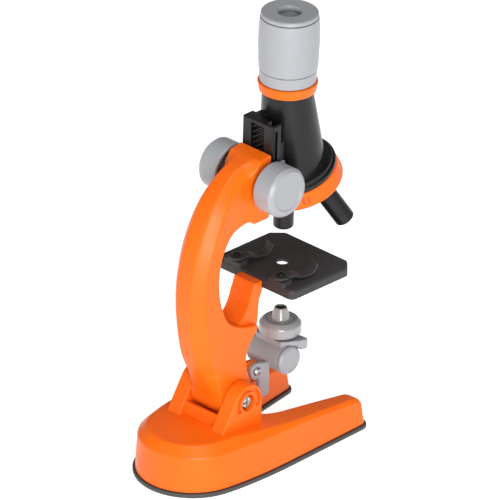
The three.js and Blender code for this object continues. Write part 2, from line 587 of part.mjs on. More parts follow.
// Places a piece made along -Z, tip down, at one of the turret's seats.
function seat(angle) {
  const place = new THREE.Matrix4().makeRotationZ(radians(angle));
  place.multiply(new THREE.Matrix4().makeTranslation(OBJECTIVE.offset, 0, 0));
  return place.multiply(new THREE.Matrix4().makeRotationY(-radians(TURRET.tilt)));
}

function seated(profile, angle, sides) {
  const made = new THREE.LatheGeometry(profile.map(([r, h]) => point(r, h)), sides);
  return solid(made.applyMatrix4(TURN_Z).applyMatrix4(seat(angle)));
}

function makeTurret() {
  const { radius, height, plate } = TURRET;
  let ring = turnedZ([[0, 0], [radius - 0.5, 0], [radius, 0.5], [radius - 1.5, height - 0.5],
    [radius - 2, height], [18.6, height], [18.6, plate], [0, plate]], 0, 0, 30);
  ring = cut(ring, rodZ(2.1, -1, 4, 0, 0, 20));
  for (const [angle] of Object.values(OBJECTIVES)) {
    const clearance = OBJECTIVE.neck + GAP;
    ring = cut(ring, seated([[0, -5], [clearance, -5], [clearance, 6], [0, 6]], angle, 16));
    const across = radians(angle + 180);
    const [x, y] = [DETENT.offset * Math.cos(across), DETENT.offset * Math.sin(across)];
    const dimple = new THREE.SphereGeometry(1.5, 10, 6).translate(x, y, 3.6);
    ring = cut(ring, solid(dimple));
  }
  add(turret, "turret_ring", ring, ORANGE);
  for (const [name, [angle, length]] of Object.entries(OBJECTIVES)) {
    const { radius: r, neck, bore, lens } = OBJECTIVE;
    const outside = seated([[0, 5], [r, 5], [r, -length + 1.2], [r - 0.5, -length + 0.3], [r - 1.2, -length],
      [0, -length]], angle, 20).intersect(box(-40, 40, -40, 40, -60, -GAP));
    const stem = seated([[0, 3.6], [neck, 3.6], [neck, -2.5], [0, -2.5]], angle, 16);
    const light = seated([[0, 5], [bore, 5], [bore, -length + 2.6], [lens + GAP, -length + 2.6],
      [lens + GAP, -length + 0.9], [1.7, -length + 0.9], [1.7, -length - 1], [0, -length - 1]], angle, 12);
    add(turret, name, cut(join(outside, stem), light), BLACK);
    const glass = seated([[0, -length + 1.1], [lens, -length + 1.2], [lens, -length + 2], [0, -length + 2.3]],
      angle, 12);
    add(turret, `${name}_lens`, glass, GLASS);
  }
}

// ---- Stage ----
function makeStage() {
  const { half, back, front, bottom, top, hole, recess, skin } = STAGE;
  const right = [[0, back], [half - 3, back], ...arc(half - 3, back + 3, 3, -60, 0, 2),
    [half, front - 6], [half - 0.8, front - 4.4], [half - 4.2, front - 0.7], [half - 5.8, front]];
  const left = right.slice(1).reverse().map(([x, y]) => [-x, y]);
  const outline = [...right, ...left];
  const layer = (z, by) => inset(outline, by).map(([x, y]) => new THREE.Vector3(x, y, z));
  const rings = [layer(bottom, 0.5), layer(bottom + 0.5, 0), layer(top - 0.9, 0), layer(top, 0.9)];
  const lightHole = rodZ(hole, bottom - 1, top + 1, 0, AXIS_Y, 24);
  const screwHole = rodZ(1, bottom - 1, bottom + 3.4, 0, 10.6, 12);
  const lightRoom = rodZ(recess, bottom - 1, top - skin, 0, AXIS_Y, 32);
  let made = cut(loft(rings, onPlan), lightHole, lightRoom, screwHole);
  for (const side of [-1, 1]) {
    const middle = side * CLIP.x;
    const block = slabZ([[middle - 5.4, back + 0.4], [middle + 5.4, back + 0.4],
      ...arc(middle, CLIP.y, 5.4, 0, 180, 8)], top - 1, CLIP.z - GAP);
    made = cut(join(made, block), rodZ(1.3, bottom + 1, CLIP.z + 1, middle, CLIP.y, 14));
  }
  add(upper, "stage_plate", made, STAGE_BLACK);
  add(upper, "stage_screw", screw(2, 1.1, 0.7, 5.6), STEEL, [0, 10.6, 82.1], [Math.PI, 0, 0]);
}

function makeClips() {
  const { x, y, z, yaw, length, width, thickness } = CLIP;
  const t = thickness;
  const top = [[-3, t], [5.6, t], [7.8, t - 0.8], [10, t - 1.75], [length - 3.2, t - 1.75],
    [length - 1.2, t - 0.6],
    [length - 0.2, t + 1.6], [length + 0.1, t + 3]];
  const underside = top.map(([along, up], k) => (k > 4 ? [along + 1, up - 0.65] : [along, up - t]));
  const outline = [...underside, ...[...top].reverse()];
  const blade = slabX(outline, -width / 2, width / 2);
  const disc = rodZ(4.4, 0, t, 0, 0, 20);
  const clip = cut(join(blade, disc), rodZ(1.3, -1, 3, 0, 0, 14));
  for (const [side, name] of [[-1, "left"], [1, "right"]]) {
    add(upper, `clip_${name}`, clip, STAGE_BLACK, [side * x, y, z], [0, 0, radians(yaw)]);
    add(upper, `clip_screw_${name}`, screw(2.3, 1, 0.95, 5.4), BLACK, [side * x, y, z + t + GAP]);
  }
}

// ---- Lamp ----
function makeLampHolder() {
  const { y, z, radius, bore, left, right } = BARREL;
  const barrel = rodX(radius, left, right, y, z, 28);
  const tray = slabZ([[-8.2, 22.2], [8.2, 22.2], [10.6, 24.6], [12.8, 28.4], [14.4, 33], [14, 33.9],
    [-14, 33.9], [-14.4, 33], [-12.8, 28.4], [-10.6, 24.6]], 47.2, 52.7);
  const ear = slabX([...arc(LAMP_PIVOT.y, LAMP_PIVOT.z, 4.2, 190, 290, 5), [11.2, 33],
    ...arc(13, 26.4, 1.8, 180, 270, 3), ...arc(16.2, 26.4, 1.8, 270, 360, 3), [18, 38.5], [17.6, 42],
    ...arc(LAMP_PIVOT.y, LAMP_PIVOT.z, 4.2, 60, 180, 7)], 1.8, 4.3);
  const hollow = rodX(bore, left + 1.5, right + 1, y, z, 24);
  const seatHole = rodZ(3.5, 49, 53, 0, AXIS_Y, 24);
  const pivotHole = rodX(1.6, 1, 5, LAMP_PIVOT.y, LAMP_PIVOT.z, 16);
  const capRoom = rodX(radius + GAP, right, right + 6, y, z);
  const whole = join(barrel, cut(tray, capRoom), ear);
  add(upper, "lamp_holder", cut(whole, hollow, seatHole, pivotHole), GREY);
  const place = [4.3 + GAP, LAMP_PIVOT.y, LAMP_PIVOT.z];
  add(upper, "lamp_screw", screw(2.3, 1.2, 0.8, 5.8), STEEL, place, [0, Math.PI / 2, 0]);
}

function makeBatteryParts() {
  const { y, z, radius } = BARREL;
  const cap = [[0, 10.1], [4.5, 10.1], [4.5, 8.2], [5.9, 8.2], [5.9, 9.8], [radius - 0.3, 9.8],
    [radius, 10.1], [radius, 11.4], [radius - 0.9, 12.2], [5.2, 12.2], [5, 12], [0, 12]];
  add(upper, "battery_cap", turnedX(cap, y, z), GREY);
  for (let k = 0; k < 3; k += 1) {
    const x = CELL.first + k * CELL.pitch;
    const end = x + CELL.thickness;
    const profile = [[0, x], [4.4, x], [4.4, x + 0.4], [CELL.radius, x + 0.4], [CELL.radius, end - 0.3],
      [CELL.radius - 0.3, end], [0, end]];
    add(upper, `battery_cell_${k + 1}`, turnedX(profile, y, z, 20), STEEL);
  }
  add(upper, "contact_plate", rodX(5, -9.2, -8.8, y, z, 20), STEEL);
  const coil = spring(2.4, 0.28, 0, 1.4, 2);
  add(upper, "contact_spring", coil, STEEL, [8.1, y, z], [0, Math.PI / 2, 0]);
}

function makeLampHead() {
  const { radius, bottom, top } = DRUM;
  const drum = [[0, 49.4], [3.2, 49.4], [3.2, bottom], [radius - 0.4, bottom], [radius, bottom + 0.5],
    [radius, 57.9], [radius - 0.4, 59.2], [radius - 1.2, 60], [radius - 2.4, top], [6.6, top], [6.6, 58.7],
    [2.6, 58.7], [2.6, 55], [0, 55]];
  add(upper, "lamp_drum", turnedZ(drum, 0, AXIS_Y), LAMP_GREY);
  const nozzle = [[2, 59], [6.2, 59], [6.2, 59.7], [4.6, 59.9], [3.2, 65.7], [2.9, 66.1], [2.5, 66.1],
    [2.5, 65.2], [2, 65.2], [2, 59]];
  add(upper, "lamp_nozzle", turnedZ(nozzle, 0, AXIS_Y, 20), LAMP_GREY);
  const led = [[0, 55.3], [2.2, 55.3], [2.2, 56.2], [1.6, 56.2], [1.6, 61.4], [1.1, 62.5], [0, 63]];
  add(upper, "lamp_led", turnedZ(led, 0, AXIS_Y, 14), GLASS);
}

makeBase();
makeTiltBolt();
makeArm();
makePinion();
makeRack();
makeGuides();
makeKnobs();
makeTube();
makeEyepiece();
makeNosepiece();
makeTurret();
makeStage();
makeClips();
makeLampHolder();
makeBatteryParts();
makeLampHead();

export default microscope;
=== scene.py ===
"""Looks of the microscope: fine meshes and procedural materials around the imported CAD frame.

Shapes are drawn in millimetres in the part's own frames and placed in metres in the shared frame.
"""

import math

import bmesh
import bpy
import numpy as np
from mathutils import Matrix, Vector
from mathutils.geometry import delaunay_2d_cdt


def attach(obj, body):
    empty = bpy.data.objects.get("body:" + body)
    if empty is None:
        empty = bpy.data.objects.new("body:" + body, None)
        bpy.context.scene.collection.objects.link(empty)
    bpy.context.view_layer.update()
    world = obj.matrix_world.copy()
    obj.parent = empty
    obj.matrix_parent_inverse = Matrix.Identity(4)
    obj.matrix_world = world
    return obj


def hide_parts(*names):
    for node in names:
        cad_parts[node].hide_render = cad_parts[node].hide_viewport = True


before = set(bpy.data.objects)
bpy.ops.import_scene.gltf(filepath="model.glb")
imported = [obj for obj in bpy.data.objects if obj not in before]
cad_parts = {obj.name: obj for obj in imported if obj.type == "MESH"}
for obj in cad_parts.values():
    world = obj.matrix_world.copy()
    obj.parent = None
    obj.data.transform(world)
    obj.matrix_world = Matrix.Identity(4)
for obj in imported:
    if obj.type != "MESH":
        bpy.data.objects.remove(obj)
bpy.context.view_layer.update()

# ---- Frames ----
WORLD = Matrix.Scale(0.001, 4)
PIVOT = (-11, 35.4)
FOCUS_AXIS = (6.1, 143.1)
LAMP_PIVOT = (9.2, 39.8)
HINGE = Vector((0, *PIVOT))
LEAN = Matrix.Rotation(math.radians(-2.2), 4, "X")
UPPER = WORLD @ Matrix.Translation(HINGE) @ LEAN @ Matrix.Translation(-HINGE)
TILT = math.radians(20)
TURRET = UPPER @ Matrix.Translation((0, 37.6, 130.8)) @ Matrix.Rotation(TILT, 4, "X")
AXIS_Y = 29
SIDES = 128


def placed(x=0, y=0, z=0, turn=(0, 0, 0)):
    """A place and a turn in degrees about X, Y and Z."""
    angles = [math.radians(a) for a in turn]
    rotation = Matrix.Rotation(angles[0], 4, "X") @ Matrix.Rotation(angles[1], 4, "Y")
    return Matrix.Translation((x, y, z)) @ rotation @ Matrix.Rotation(angles[2], 4, "Z")


# ---- Flat outlines ----
def arc(a, b, radius, start, end, steps=24):
    angles = np.radians(np.linspace(start, end, steps + 1))
    return [(a + radius * math.cos(t), b + radius * math.sin(t)) for t in angles]


def spline(points, per_span=8):
    """A smooth curve through the points."""
    pts = [np.array(p, float) for p in points]
    out = []
    for i in range(len(pts) - 1):
        p0, p1 = pts[max(i - 1, 0)], pts[i]
        p2, p3 = pts[i + 1], pts[min(i + 2, len(pts) - 1)]
        for k in range(per_span):
            t = k / per_span
            v0, v1 = (p2 - p0) / 2, (p3 - p1) / 2
            value = (
                (2 * p1 - 2 * p2 + v0 + v1) * t**3
                + (-3 * p1 + 3 * p2 - 2 * v0 - v1) * t**2
                + v0 * t
                + p1
            )
            out.append(tuple(value))
    return out + [tuple(pts[-1])]


def bezier(start, control, end, steps=16):
    s, c, e = (np.array(p, float) for p in (start, control, end))
    return [tuple((1 - t) ** 2 * s + 2 * t * (1 - t) * c + t * t * e) for t in np.linspace(0, 1, steps + 1)]


def rounded(points, radius, closed=True, steps=5):
    """The outline with its corners as arcs. A point may carry its own radius as a third number."""
    out = []
    count = len(points)
    for i, point in enumerate(points):
        r = point[2] if len(point) > 2 else radius
        here = Vector(point[:2])
        if r <= 0 or (not closed and i in (0, count - 1)):
            out.append(tuple(here))
            continue
        before = Vector(points[i - 1][:2]) - here
        after = Vector(points[(i + 1) % count][:2]) - here
        angle = before.angle(after)
        if angle > math.radians(176):
            out.append(tuple(here))
            continue
        half = math.tan(angle / 2)
        reach = min(r / half, 0.48 * before.length, 0.48 * after.length)
        real = reach * half
        centre = here + (before.normalized() + after.normalized()).normalized() * (real / math.sin(angle / 2))
        first, last = here + before.normalized() * reach - centre, here + after.normalized() * reach - centre
        start = math.atan2(first.y, first.x)
        sweep = (math.atan2(last.y, last.x) - start + math.pi) % (2 * math.pi) - math.pi
        for k in range(steps + 1):
            t = start + sweep * k / steps
            out.append((centre.x + real * math.cos(t), centre.y + real * math.sin(t)))
    return out


def inset(outline, by):
    """A closed counter-clockwise outline moved inwards, by one distance or by one per point."""
    p = np.array(outline, float)
    edge = np.roll(p, -1, 0) - p
    normal = np.stack([-edge[:, 1], edge[:, 0]], 1) / np.maximum(np.linalg.norm(edge, axis=1), 1e-9)[:, None]
    before = np.roll(normal, 1, 0)
    scale = np.broadcast_to(by, len(p)) / np.maximum(0.3, 1 + (before * normal).sum(1))
    return p + (before + normal) * scale[:, None]


def resampled(points, spacing):
    """An open curve as points at an even spacing."""
    p = np.array(points, float)
    along = np.concatenate([[0], np.cumsum(np.linalg.norm(np.diff(p, axis=0), axis=1))])
    where = np.linspace(0, along[-1], max(2, round(along[-1] / spacing)) + 1)
    return [(np.interp(s, along, p[:, 0]), np.interp(s, along, p[:, 1])) for s in where]


def oval(a, b, half_a, half_b, steps=48):
    return [(a + half_a * math.cos(t), b + half_b * math.sin(t)) for t in np.linspace(0, 2 * math.pi, steps,
        False)]


# ---- Solids ----
def solid(verts, faces):
    """A closed mesh object in millimetres, with its faces turned out."""
    mesh = bpy.data.meshes.new("shape")
    mesh.from_pydata([tuple(float(c) for c in v) for v in verts], [], faces)
    bm = bmesh.new()
    bm.from_mesh(mesh)
    bmesh.ops.remove_doubles(bm, verts=bm.verts, dist=1e-5)
    bmesh.ops.recalc_face_normals(bm, faces=bm.faces)
    bm.to_mesh(mesh)
    bm.free()
    made = bpy.data.objects.new("shape", mesh)
    bpy.context.scene.collection.objects.link(made)
    return made


def band(count, ring, following):
    """The faces between two rings of the same number of points, by where each ring starts."""
    return [
        (ring + k, ring + (k + 1) % count, following + (k + 1) % count, following + k) for k in range(count)
    ]


def loft(rings):
    count = len(rings[0])
    verts = [v for ring in rings for v in ring]
    faces = [f for k in range(len(rings) - 1) for f in band(count, k * count, (k + 1) * count)]
    last = (len(rings) - 1) * count
    return solid(verts, faces + [tuple(range(count)), tuple(range(last, last + count))])


def lathe(profile, axis="z", at=(0, 0), sides=SIDES):
    """A closed profile of (radius, height) turned about an axis that passes through a point."""
    turns = np.linspace(0, 2 * math.pi, sides, False)
    u, v = at
    place = {
        "z": lambda r, h, t: (u + r * math.cos(t), v + r * math.sin(t), h),
        "x": lambda r, h, t: (h, u + r * math.cos(t), v + r * math.sin(t)),
    }[axis]
    verts = [place(max(r, 0), h, t) for r, h in profile for t in turns]
    faces = []
    for k in range(len(profile)):
        following = (k + 1) % len(profile)
        if profile[k][0] > 1e-6 or profile[following][0] > 1e-6:
            faces += band(sides, k * sides, following * sides)
    made = solid(verts, faces)
    tidy_poles(made)
    return made


def tidy_poles(made):
    """Quads that collapsed at an axis become triangles."""
    bm = bmesh.new()
    bm.from_mesh(made.data)
    bmesh.ops.dissolve_degenerate(bm, dist=1e-6, edges=bm.edges)
    bmesh.ops.recalc_face_normals(bm, faces=bm.faces)
    bm.to_mesh(made.data)
    bm.free()


def turned(profile, radius=0.3, steps=4, **options):
    """A lathe whose profile corners are rounded, apart from those on the axis."""
    corners = [(*p, 0) if p[0] < 1e-6 and len(p) == 2 else p for p in profile]
    return lathe(rounded(corners, radius, steps=steps), **options)


AXES = {
    "x": lambda a, b, h: (h, a, b),
    "y": lambda a, b, h: (a, h, b),
    "z": lambda a, b, h: (a, b, h),
}


def slab(outline, low, high, axis="z", edge=0.25, steps=3):
    """A flat outline given a thickness along an axis, with rounded edges."""
    if edge <= 0:
        layers = [(low, 0), (high, 0)]
    else:
        angles = np.linspace(0, math.pi / 2, steps + 1)
        ends = [(edge * (1 - math.sin(t)), edge * (1 - math.cos(t))) for t in angles]
        layers = [(low + up, by) for by, up in ends]
        layers += [(high - up, by) for by, up in reversed(ends)]
    return loft([[AXES[axis](a, b, h) for a, b in inset(outline, by)] for h, by in layers])


def rect(a0, a1, b0, b1, radius=0.4, steps=4):
    return rounded([(a0, b0), (a1, b0), (a1, b1), (a0, b1)], radius, steps=steps)


def block(x0, x1, y0, y1, z0, z1, radius=0.4, edge=0.25):
    return slab(rect(x0, x1, y0, y1, radius), z0, z1, "z", edge)


def rod(radius, low, high, axis="z", at=(0, 0), sides=64):
    outline = [(at[0] + radius * math.cos(t), at[1] + radius * math.sin(t)) for t in np.linspace(0,
        2 * math.pi, sides, False)]
    return slab(outline, low, high, axis, 0)


def combined(operation, first, others):
    """A boolean of solids. The others are used up."""
    for other in others:
        step = first.modifiers.new("step", "BOOLEAN")
        step.operation = operation
        step.solver = "MANIFOLD"
        step.object = other
        graph = bpy.context.evaluated_depsgraph_get()
        graph.update()
        mesh = bpy.data.meshes.new_from_object(first.evaluated_get(graph))
        first.modifiers.clear()
        first.data = mesh
        bpy.data.objects.remove(other)
    return first


def joined(first, *others):
    return combined("UNION", first, others)


def carved(first, *others):
    return combined("DIFFERENCE", first, others)


def moved(made, matrix):
    made.data.transform(matrix)
    return made


def filled(outline, spacing, margin):
    """Points and triangles that fill a closed outline, with a grid of points inside it."""
    ring = [Vector(p) for p in outline]
    count = len(ring)
    p = np.array(outline, float)
    low, high = p.min(0), p.max(0)
    xs = np.arange(low[0] + spacing / 2, high[0], spacing)
    ys = np.arange(low[1] + spacing / 2, high[1], spacing)
    a, b = p, np.roll(p, -1, 0)
    grid = []
    for j, y in enumerate(ys):
        shift = spacing / 2 if j % 2 else 0
        for x in xs + shift:
            crossing = (a[:, 1] > y) != (b[:, 1] > y)
            with np.errstate(divide="ignore", invalid="ignore"):
                at = a[:, 0] + (y - a[:, 1]) * (b[:, 0] - a[:, 0]) / (b[:, 1] - a[:, 1])
            if (crossing & (x < at)).sum() % 2 == 0:
                continue
            if np.hypot(p[:, 0] - x, p[:, 1] - y).min() > margin:
                grid.append(Vector((x, y)))
    edges = [(k, (k + 1) % count) for k in range(count)]
    points, _, faces, *_ = delaunay_2d_cdt(ring + grid, edges, [], 1, 1e-7)
    return [tuple(v) for v in points], [tuple(f) for f in faces]


# ---- Materials ----
def linear(r, g, b):
    """A screen colour from 0 to 255 as a linear one."""
    values = [c / 255 for c in (r, g, b)]
    return tuple(v / 12.92 if v <= 0.04045 else ((v + 0.055) / 1.055) ** 2.4 for v in values)


class Recipe:
    """A node material under construction."""

    def __init__(self, name):
        self.material = bpy.data.materials.new(name)
        self.material.use_nodes = True
        self.tree = self.material.node_tree
        self.shader = self.tree.nodes["Principled BSDF"]
        self.coordinates = self.node("ShaderNodeTexCoord").outputs["Object"]

    def node(self, kind, **values):
        made = self.tree.nodes.new(kind)
        for key, value in values.items():
            setattr(made, key, value)
        return made

    def link(self, source, target):
        self.tree.links.new(source, target)

    def noise(self, scale, detail=3.0, roughness=0.55, stretch=None):
        made = self.node("ShaderNodeTexNoise")
        made.inputs["Scale"].default_value = scale
        made.inputs["Detail"].default_value = detail
        made.inputs["Roughness"].default_value = roughness
        source = self.coordinates
        if stretch:
            mapping = self.node("ShaderNodeMapping")
            mapping.inputs["Scale"].default_value = stretch
            self.link(source, mapping.inputs["Vector"])
            source = mapping.outputs["Vector"]
        self.link(source, made.inputs["Vector"])
        return made.outputs["Fac"]

    def ramp(self, factor, low, high, start=0.3, end=0.7):
        """A factor turned into a number between two values."""
        made = self.node("ShaderNodeMapRange")
        made.inputs["From Min"].default_value = start
        made.inputs["From Max"].default_value = end
        made.inputs["To Min"].default_value = low
        made.inputs["To Max"].default_value = high
        self.link(factor, made.inputs["Value"])
        return made.outputs["Result"]

    def mix(self, factor, first, second):
        made = self.node("ShaderNodeMix", data_type="RGBA")
        for value, socket in ((factor, made.inputs["Factor"]), (first, made.inputs["A"]),
            (second, made.inputs["B"])):
            if isinstance(value, (int, float)):
                socket.default_value = value
            elif isinstance(value, tuple):
                socket.default_value = (*value, 1.0)[:4]
            else:
                self.link(value, socket)
        return next(o for o in made.outputs if o.type == "RGBA")

    def edges(self, radius):
        """How much a point lies on an edge, and the rounded normal there."""
        bevel = self.node("ShaderNodeBevel", samples=6)
        bevel.inputs["Radius"].default_value = radius
        flat = self.node("ShaderNodeNewGeometry").outputs["Normal"]
        dot = self.node("ShaderNodeVectorMath", operation="DOT_PRODUCT")
        self.link(bevel.outputs["Normal"], dot.inputs[0])
        self.link(flat, dot.inputs[1])
        return self.ramp(dot.outputs["Value"], 1.0, 0.0, 0.72, 0.985), bevel.outputs["Normal"]

    def bump(self, height, strength, distance, normal=None):
        made = self.node("ShaderNodeBump")
        made.inputs["Strength"].default_value = strength
        made.inputs["Distance"].default_value = distance
        self.link(height, made.inputs["Height"])
        if normal:
            self.link(normal, made.inputs["Normal"])
        return made.outputs["Normal"]

    def set(self, **values):
        for key, value in values.items():
            socket = self.shader.inputs[key.replace("_", " ")]
            socket.default_value = (*value, 1.0) if isinstance(value, tuple) and len(value) == 3 else value


def plastic(name, color, shade, edge_highlight_color, gloss, grain, grain_depth, coat=0.0, specular=0.5, edge_highlight=0.5):
    """Moulded plastic: flow mottling, fine grain, uneven polish, and a painted highlight that lightens the
    edges.
    """
    r = Recipe(name)
    cloud = r.ramp(r.noise(34, 4), 0.0, 1.0)
    streak = r.ramp(r.noise(60, 3, stretch=(1.0, 1.0, 0.25)), 0.0, 0.5)
    body = r.mix(streak, r.mix(cloud, color, shade), color)
    # Painted highlight: a lighter colour is mixed in where the surface bends, standing in for light glinting
    # on rounded edges; noise breaks it up.
    rim, normal = r.edges(0.00035)
    highlight_breakup = r.ramp(r.noise(900, 5, 0.7), 0.0, 1.0, 0.38, 0.6)
    painted_edge_highlight = r.node("ShaderNodeMath", operation="MULTIPLY")
    r.link(rim, painted_edge_highlight.inputs[0])
    r.link(r.ramp(highlight_breakup, edge_highlight * 0.55, edge_highlight, 0.0, 1.0), painted_edge_highlight.inputs[1])
    r.link(r.mix(painted_edge_highlight.outputs[0], body, edge_highlight_color), r.shader.inputs["Base Color"])
    r.link(r.ramp(r.noise(150, 5, 0.65), gloss[0], gloss[1]), r.shader.inputs["Roughness"])
    wavy = r.bump(r.noise(160, 2), 0.06, 0.0004, normal)
    r.link(r.bump(r.noise(grain, 3, 0.6), 0.4, grain_depth, wavy), r.shader.inputs["Normal"])
    r.set(Coat_Weight=coat, Coat_Roughness=0.12, Specular_IOR_Level=specular)
    return r.material


def metal(name, color, gloss, stretch):
    """Plated steel with fine turning marks."""
    r = Recipe(name)
    marks = r.noise(2200, 4, 0.7, stretch=stretch)
    tone = r.ramp(r.noise(400, 3), 0.0, 1.0)
    r.link(r.mix(tone, color, tuple(c * 0.72 for c in color)), r.shader.inputs["Base Color"])
    r.link(r.ramp(marks, gloss[0], gloss[1]), r.shader.inputs["Roughness"])
    _, normal = r.edges(0.0002)
    r.link(r.bump(marks, 0.25, 0.00003, normal), r.shader.inputs["Normal"])
    r.set(Metallic=1.0)
    return r.material


def glass(name, tint, roughness, transmission):
    """Clear moulded lens material with a faint haze."""
    r = Recipe(name)
    haze = r.ramp(r.noise(700, 4), roughness, roughness + 0.06)
    r.link(haze, r.shader.inputs["Roughness"])
    r.link(r.mix(r.ramp(r.noise(120, 3), 0.0, 0.6), tint, tuple(c * 0.93 for c in tint)),
        r.shader.inputs["Base Color"])
    r.set(Transmission_Weight=transmission, IOR=1.49, Coat_Weight=0.4, Coat_Roughness=0.03)
    return r.material


# The third colour of each plastic is a lighter colour painted on its edges as a highlight.
ORANGE = plastic(
    "orange_shell_look", (0.93, 0.15, 0.004), (0.90, 0.132, 0.003), (1.0, 0.30, 0.05),
    gloss=(0.3, 0.42), grain=1500, grain_depth=0.000012, coat=0.0, specular=0.26,
)
BLACK = plastic(
    "black_plastic_look", (0.0085, 0.0085, 0.0088), (0.0065, 0.0065, 0.0068), (0.06, 0.06, 0.062),
    gloss=(0.24, 0.36), grain=1900, grain_depth=0.000014, specular=0.34,
)
STAGE_BLACK = plastic(
    "stage_plastic_look", (0.045, 0.045, 0.046), (0.038, 0.038, 0.039), (0.11, 0.11, 0.11),
    gloss=(0.48, 0.6), grain=2600, grain_depth=0.000022, specular=0.32,
)
GREY = plastic(
    "grey_plastic_look", (0.345, 0.352, 0.372), (0.325, 0.332, 0.352), (0.52, 0.53, 0.55),
    gloss=(0.28, 0.4), grain=1700, grain_depth=0.000012, coat=0.1,
)
LAMP_GREY = plastic(
    "lamp_plastic_look", (0.36, 0.36, 0.365), (0.335, 0.335, 0.34), (0.56, 0.56, 0.56),
    gloss=(0.16, 0.26), grain=1700, grain_depth=0.00001, coat=0.5,
)
RIM = plastic(
    "rim_plastic_look", (0.048, 0.046, 0.044), (0.06, 0.058, 0.055), (0.2, 0.195, 0.19),
    gloss=(0.45, 0.62), grain=3000, grain_depth=0.00004,
)
PRINT = plastic(
    "printed_mark_look", (0.62, 0.045, 0.0), (0.58, 0.04, 0.0), (0.7, 0.08, 0.01),
    gloss=(0.3, 0.42), grain=2500, grain_depth=0.00001,
)
STEEL = metal("screw_steel_look", (0.62, 0.62, 0.63), (0.18, 0.34), (1.0, 1.0, 0.2))
CHROME = metal("bright_steel_look", (0.78, 0.78, 0.79), (0.08, 0.18), (1.0, 0.2, 1.0))
GLASS = glass("lens_glass_look", (0.86, 0.9, 0.93), 0.02, 0.85)
LED = glass("led_lens_look", (0.97, 0.96, 0.9), 0.08, 0.6)


def piece(name, made, place, body, material, slot, *nodes, sharp=32):
    """Finishes a solid as a piece on a body: its place, shading, material and the CAD nodes it stands for."""
    made.data.transform(place)
    if place.determinant() < 0:
        made.data.flip_normals()
    made.name = name
    made.data.name = name
    made.data.materials.clear()
    made.data.materials.append(material)
    made.data.shade_smooth()
    made.data.set_sharp_from_angle(angle=math.radians(sharp))
    weighted = made.modifiers.new("even_shading", "WEIGHTED_NORMAL")
    weighted.keep_sharp = True
    weighted.weight = 80
    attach(made, body)
    if nodes:
        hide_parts(*nodes)
    return made


def screw(head_radius, head_height, shank_radius, length):
    """A pan-head screw with a cross recess, its head on height 0 and its shank going down."""
    profile = [
        (0, -length), (shank_radius * 0.5, -length), (shank_radius, -length + 1.2), (shank_radius, 0),
        (head_radius, 0), (head_radius, head_height * 0.4), (head_radius * 0.72, head_height * 0.86),
        (0, head_height),
    ]
    head = turned(profile, 0.25, sides=48)
    wide, thin, deep = head_radius * 0.55, head_radius * 0.13, head_height * 0.35
    for half_x, half_y in ((wide, thin), (thin, wide)):
        head = carved(head, block(-half_x, half_x, -half_y, half_y, deep, head_height + 1, 0.08, 0))
    return head


# ---- Base ----
TOP_LINE = ((-70, 25), (-24, 25), (-11, 23.2), (13, 20.6), (34, 18.6), (49, 16.9))
TIP = (49, 6.9, 10)


def top_height(y):
    """Height of the base's top along Y: flat heel, falling prongs, round tips."""
    if y >= TIP[0]:
        return TIP[1] + math.sqrt(max(0.0, TIP[2] ** 2 - min(y - TIP[0], TIP[2] - 0.05) ** 2))
    ys, zs = zip(*TOP_LINE)
    return float(np.mean([np.interp(min(y + d, TIP[0]), ys, zs) for d in (-4, -2, 0, 2, 4)]))


def base_rim(spacing=1.0):
    heel = arc(0, -30, 28.9, -90, -12, 60)
    half = [
        *heel, *bezier(heel[-1], (32, -18.5), (32, 7), 24)[1:], (32, 54), *arc(27, 54, 5, 0, 90, 14)[1:],
        *arc(22.6, 54.2, 4.8, 90, 180, 14), (12.8, 17), *bezier((12.8, 17), (11.2, 3), (0, 3), 24)[1:],
    ]
    right = resampled(half, spacing)
    return right + [(-x, y) for x, y in right[-2:0:-1]]


